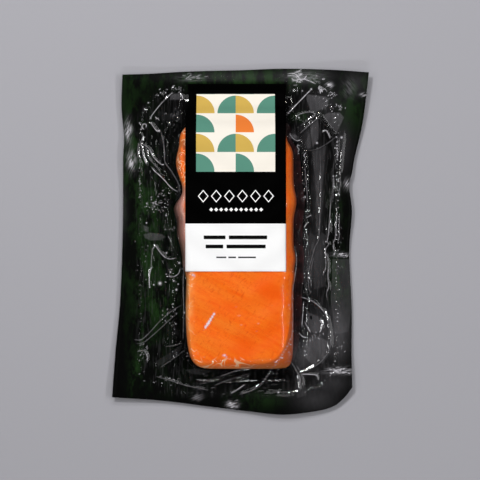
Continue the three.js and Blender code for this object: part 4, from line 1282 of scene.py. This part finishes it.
def quarter_rounds(ink):
    """The mask of the quarter rounds, and the column and the row of the tile at each place."""
    m = ink.material
    from_left = add(m, "ShaderNodeMath", {0: ink.x, 1: PICTURE["left"]}, operation="SUBTRACT")
    from_foot = add(m, "ShaderNodeMath", {0: ink.y, 1: PICTURE["bottom"]}, operation="SUBTRACT")
    columns = add(m, "ShaderNodeMath", {0: from_left, 1: TILE}, operation="DIVIDE")
    rows = add(m, "ShaderNodeMath", {0: from_foot, 1: TILE}, operation="DIVIDE")
    # Every other column is mirrored, so the rounds meet in pairs.
    u = add(m, "ShaderNodeMath", {0: columns, 1: 1.0}, operation="PINGPONG")
    v = add(m, "ShaderNodeMath", {0: rows}, operation="FRACT")
    squares = [add(m, "ShaderNodeMath", {0: side, 1: 2.0}, operation="POWER") for side in (u, v)]
    reach = add(m, "ShaderNodeMath", {0: squares[0], 1: squares[1]}, operation="ADD")
    rounds = add(m, "ShaderNodeMath", {0: reach, 1: ROUND_SIZE}, operation="LESS_THAN")
    column, row = (add(m, "ShaderNodeMath", {0: side}, operation="FLOOR") for side in (columns, rows))
    return rounds, column, row


print("tile:", round(TILE, 1), "mm")

# %% Printed paper material
BLACK_FIELD_BOTTOM = 11.4
# Rows of bars: colour, bottom and top, then the left and right end of each bar.
BARS = [
    ("#0A0A0A", 1.2, 3.6, (-23.8, -9.5), (-7.3, 17.8)),
    ("#0A0A0A", -4.8, -2.4, (-22.5, -11), (-8.8, 16.8)),
    ("#3A3A3A", -11.2, -10.2, (-15.5, -9), (-7.6, -2.6), (-1.2, 10.4)),
]


def label_material():
    """Coated paper, offset printed: smooth, semi-matt, IOR 1.5, with hardly any gloss to the ink."""
    m = new_material("printed coated paper")
    ink = Print(m, "#FFFFFF")
    black = add(m, "ShaderNodeMath", {0: ink.y, 1: BLACK_FIELD_BOTTOM}, operation="GREATER_THAN")
    ink.lay("#000000", black)
    picture = ink.box(*(PICTURE[side] for side in ("left", "right", "bottom", "top")))
    ink.lay("#FBF4E8", *picture)
    rounds, column, row = quarter_rounds(ink)
    column_and_row = add(m, "ShaderNodeMath", {0: column, 1: row}, operation="ADD")
    parity = add(m, "ShaderNodeMath", {0: column_and_row, 1: 2.0}, operation="MODULO")
    row_parity = add(m, "ShaderNodeMath", {0: row, 1: 2.0}, operation="MODULO")
    even, odd, odd_row, third_column, third_row = (
        add(m, "ShaderNodeMath", {0: number, 1: wanted, 2: 0.5}, operation="COMPARE")
        for number, wanted in ((parity, 0.0), (parity, 1.0), (row_parity, 1.0), (column, 2.0), (row, 2.0))
    )
    ink.lay("#5C9280", rounds, *picture, even)
    ink.lay("#D6B258", rounds, *picture, odd, odd_row)
    ink.lay("#F1833A", rounds, *picture, third_column, third_row)
    for lozenges in LOZENGES:
        ink.lay("#FFFFFF", *lozenge_row(ink, *lozenges))
    for colour, bottom, top, *bars in BARS:
        for left, right in bars:
            ink.lay(colour, *ink.box(left, right, bottom, top))
    looks = {"Base Color": ink.colour, "Roughness": 0.6, "IOR": 1.5, "Specular IOR Level": 0.015}
    return finish(m, add(m, "ShaderNodeBsdfPrincipled", looks))


label = show(paper, label_material(), "label_paper", "label", "label_black_field", "label_picture_field")
stock = label.modifiers.new("paper", "SOLIDIFY")
stock.thickness = PAPER_THICKNESS * MM
print("material:", paper.materials[0].name)

# %% [markdown]
# ## Studio
# The pack lies on a plain pale floor under soft light. The film is a mirror, so what it shows is decided
# here: dark above, where the camera is, and bright strips low on every side for the folds to catch.

# %% Floor
FLOOR_HALF = 2  # metres


def floor_material():
    """Cast concrete under a matt grey paint, rolled on: pale, with no gloss to speak of."""
    m = new_material("plain floor")
    looks = {"Base Color": linear("#ABAAB0"), "Roughness": 0.9}
    return finish(m, add(m, "ShaderNodeBsdfPrincipled", looks))


def make_floor():
    sheet = bmesh.new()
    bmesh.ops.create_grid(sheet, x_segments=1, y_segments=1, size=FLOOR_HALF)
    mesh = bpy.data.meshes.new("floor")
    sheet.to_mesh(mesh)
    sheet.free()
    mesh.materials.append(floor_material())
    floor = bpy.data.objects.new("floor", mesh)
    bpy.context.collection.objects.link(floor)
    return floor


print("stage:", make_floor().name)

# %% Camera
CAMERA_HEIGHT = 1.6
PIXEL = 0.66 * MM  # what a pixel of the picture spans on the pack
FRAME_WIDTH = 480 * PIXEL
MEASURED_HEIGHT = 10 * MM  # the height over the table at which a pixel spans that
MIDDLE_Y = PIXEL

camera_data = bpy.data.cameras.new("camera")
camera_data.sensor_width = 36
camera_data.lens = camera_data.sensor_width * (CAMERA_HEIGHT - MEASURED_HEIGHT) / FRAME_WIDTH
camera = bpy.data.objects.new("camera", camera_data)
camera.location = (0, MIDDLE_Y, CAMERA_HEIGHT)
bpy.context.collection.objects.link(camera)
bpy.context.scene.camera = camera
print("lens:", round(camera_data.lens), "mm")

# %% Lights
LAMP_DISTANCE = 1.2
ROOM_LIGHT = 0.015
# Each soft box: name, azimuth, degrees off the vertical, length and width in metres, and radiance.
LAMPS = [
    ("key", 125, 35, 0.16, 0.16, 72),
    ("right strip", 0, 42, 0.7, 0.08, 21),
    ("left strip", 180, 42, 0.7, 0.08, 8.5),
    ("top strip", 90, 45, 0.7, 0.08, 20),
    ("bottom strip", 270, 48, 0.7, 0.08, 15),
    ("right card", 20, 30, 0.9, 0.3, 0.8),
    ("top card", 110, 32, 0.8, 0.3, 0.5),
    ("left card", 200, 34, 0.9, 0.25, 0.15),
]


def soft_box(name, azimuth, tilt, length, width, radiance):
    """A lamp that looks at the pack. The power that gives a radiance grows with the lamp's area."""
    data = bpy.data.lights.new(name, "AREA")
    data.shape = "RECTANGLE"
    data.size, data.size_y = length, width
    data.energy = radiance * length * width * math.pi
    lamp = bpy.data.objects.new(name, data)
    a, t = math.radians(azimuth), math.radians(tilt)
    towards = Vector((math.sin(t) * math.cos(a), math.sin(t) * math.sin(a), math.cos(t)))
    lamp.location = LAMP_DISTANCE * towards
    lamp.rotation_euler = (-lamp.location).to_track_quat("-Z", "Y").to_euler()
    bpy.context.collection.objects.link(lamp)


for lamp_row in LAMPS:
    soft_box(*lamp_row)
print(len(LAMPS), "soft boxes")

# %% Room
world = bpy.data.worlds.new("studio")
bpy.context.scene.world = world
world.use_nodes = True
world.node_tree.nodes["Background"].inputs["Color"].default_value = linear("#FFFFFF")
world.node_tree.nodes["Background"].inputs["Strength"].default_value = ROOM_LIGHT
bpy.context.scene.view_settings.view_transform = "Standard"
print("room light:", ROOM_LIGHT)
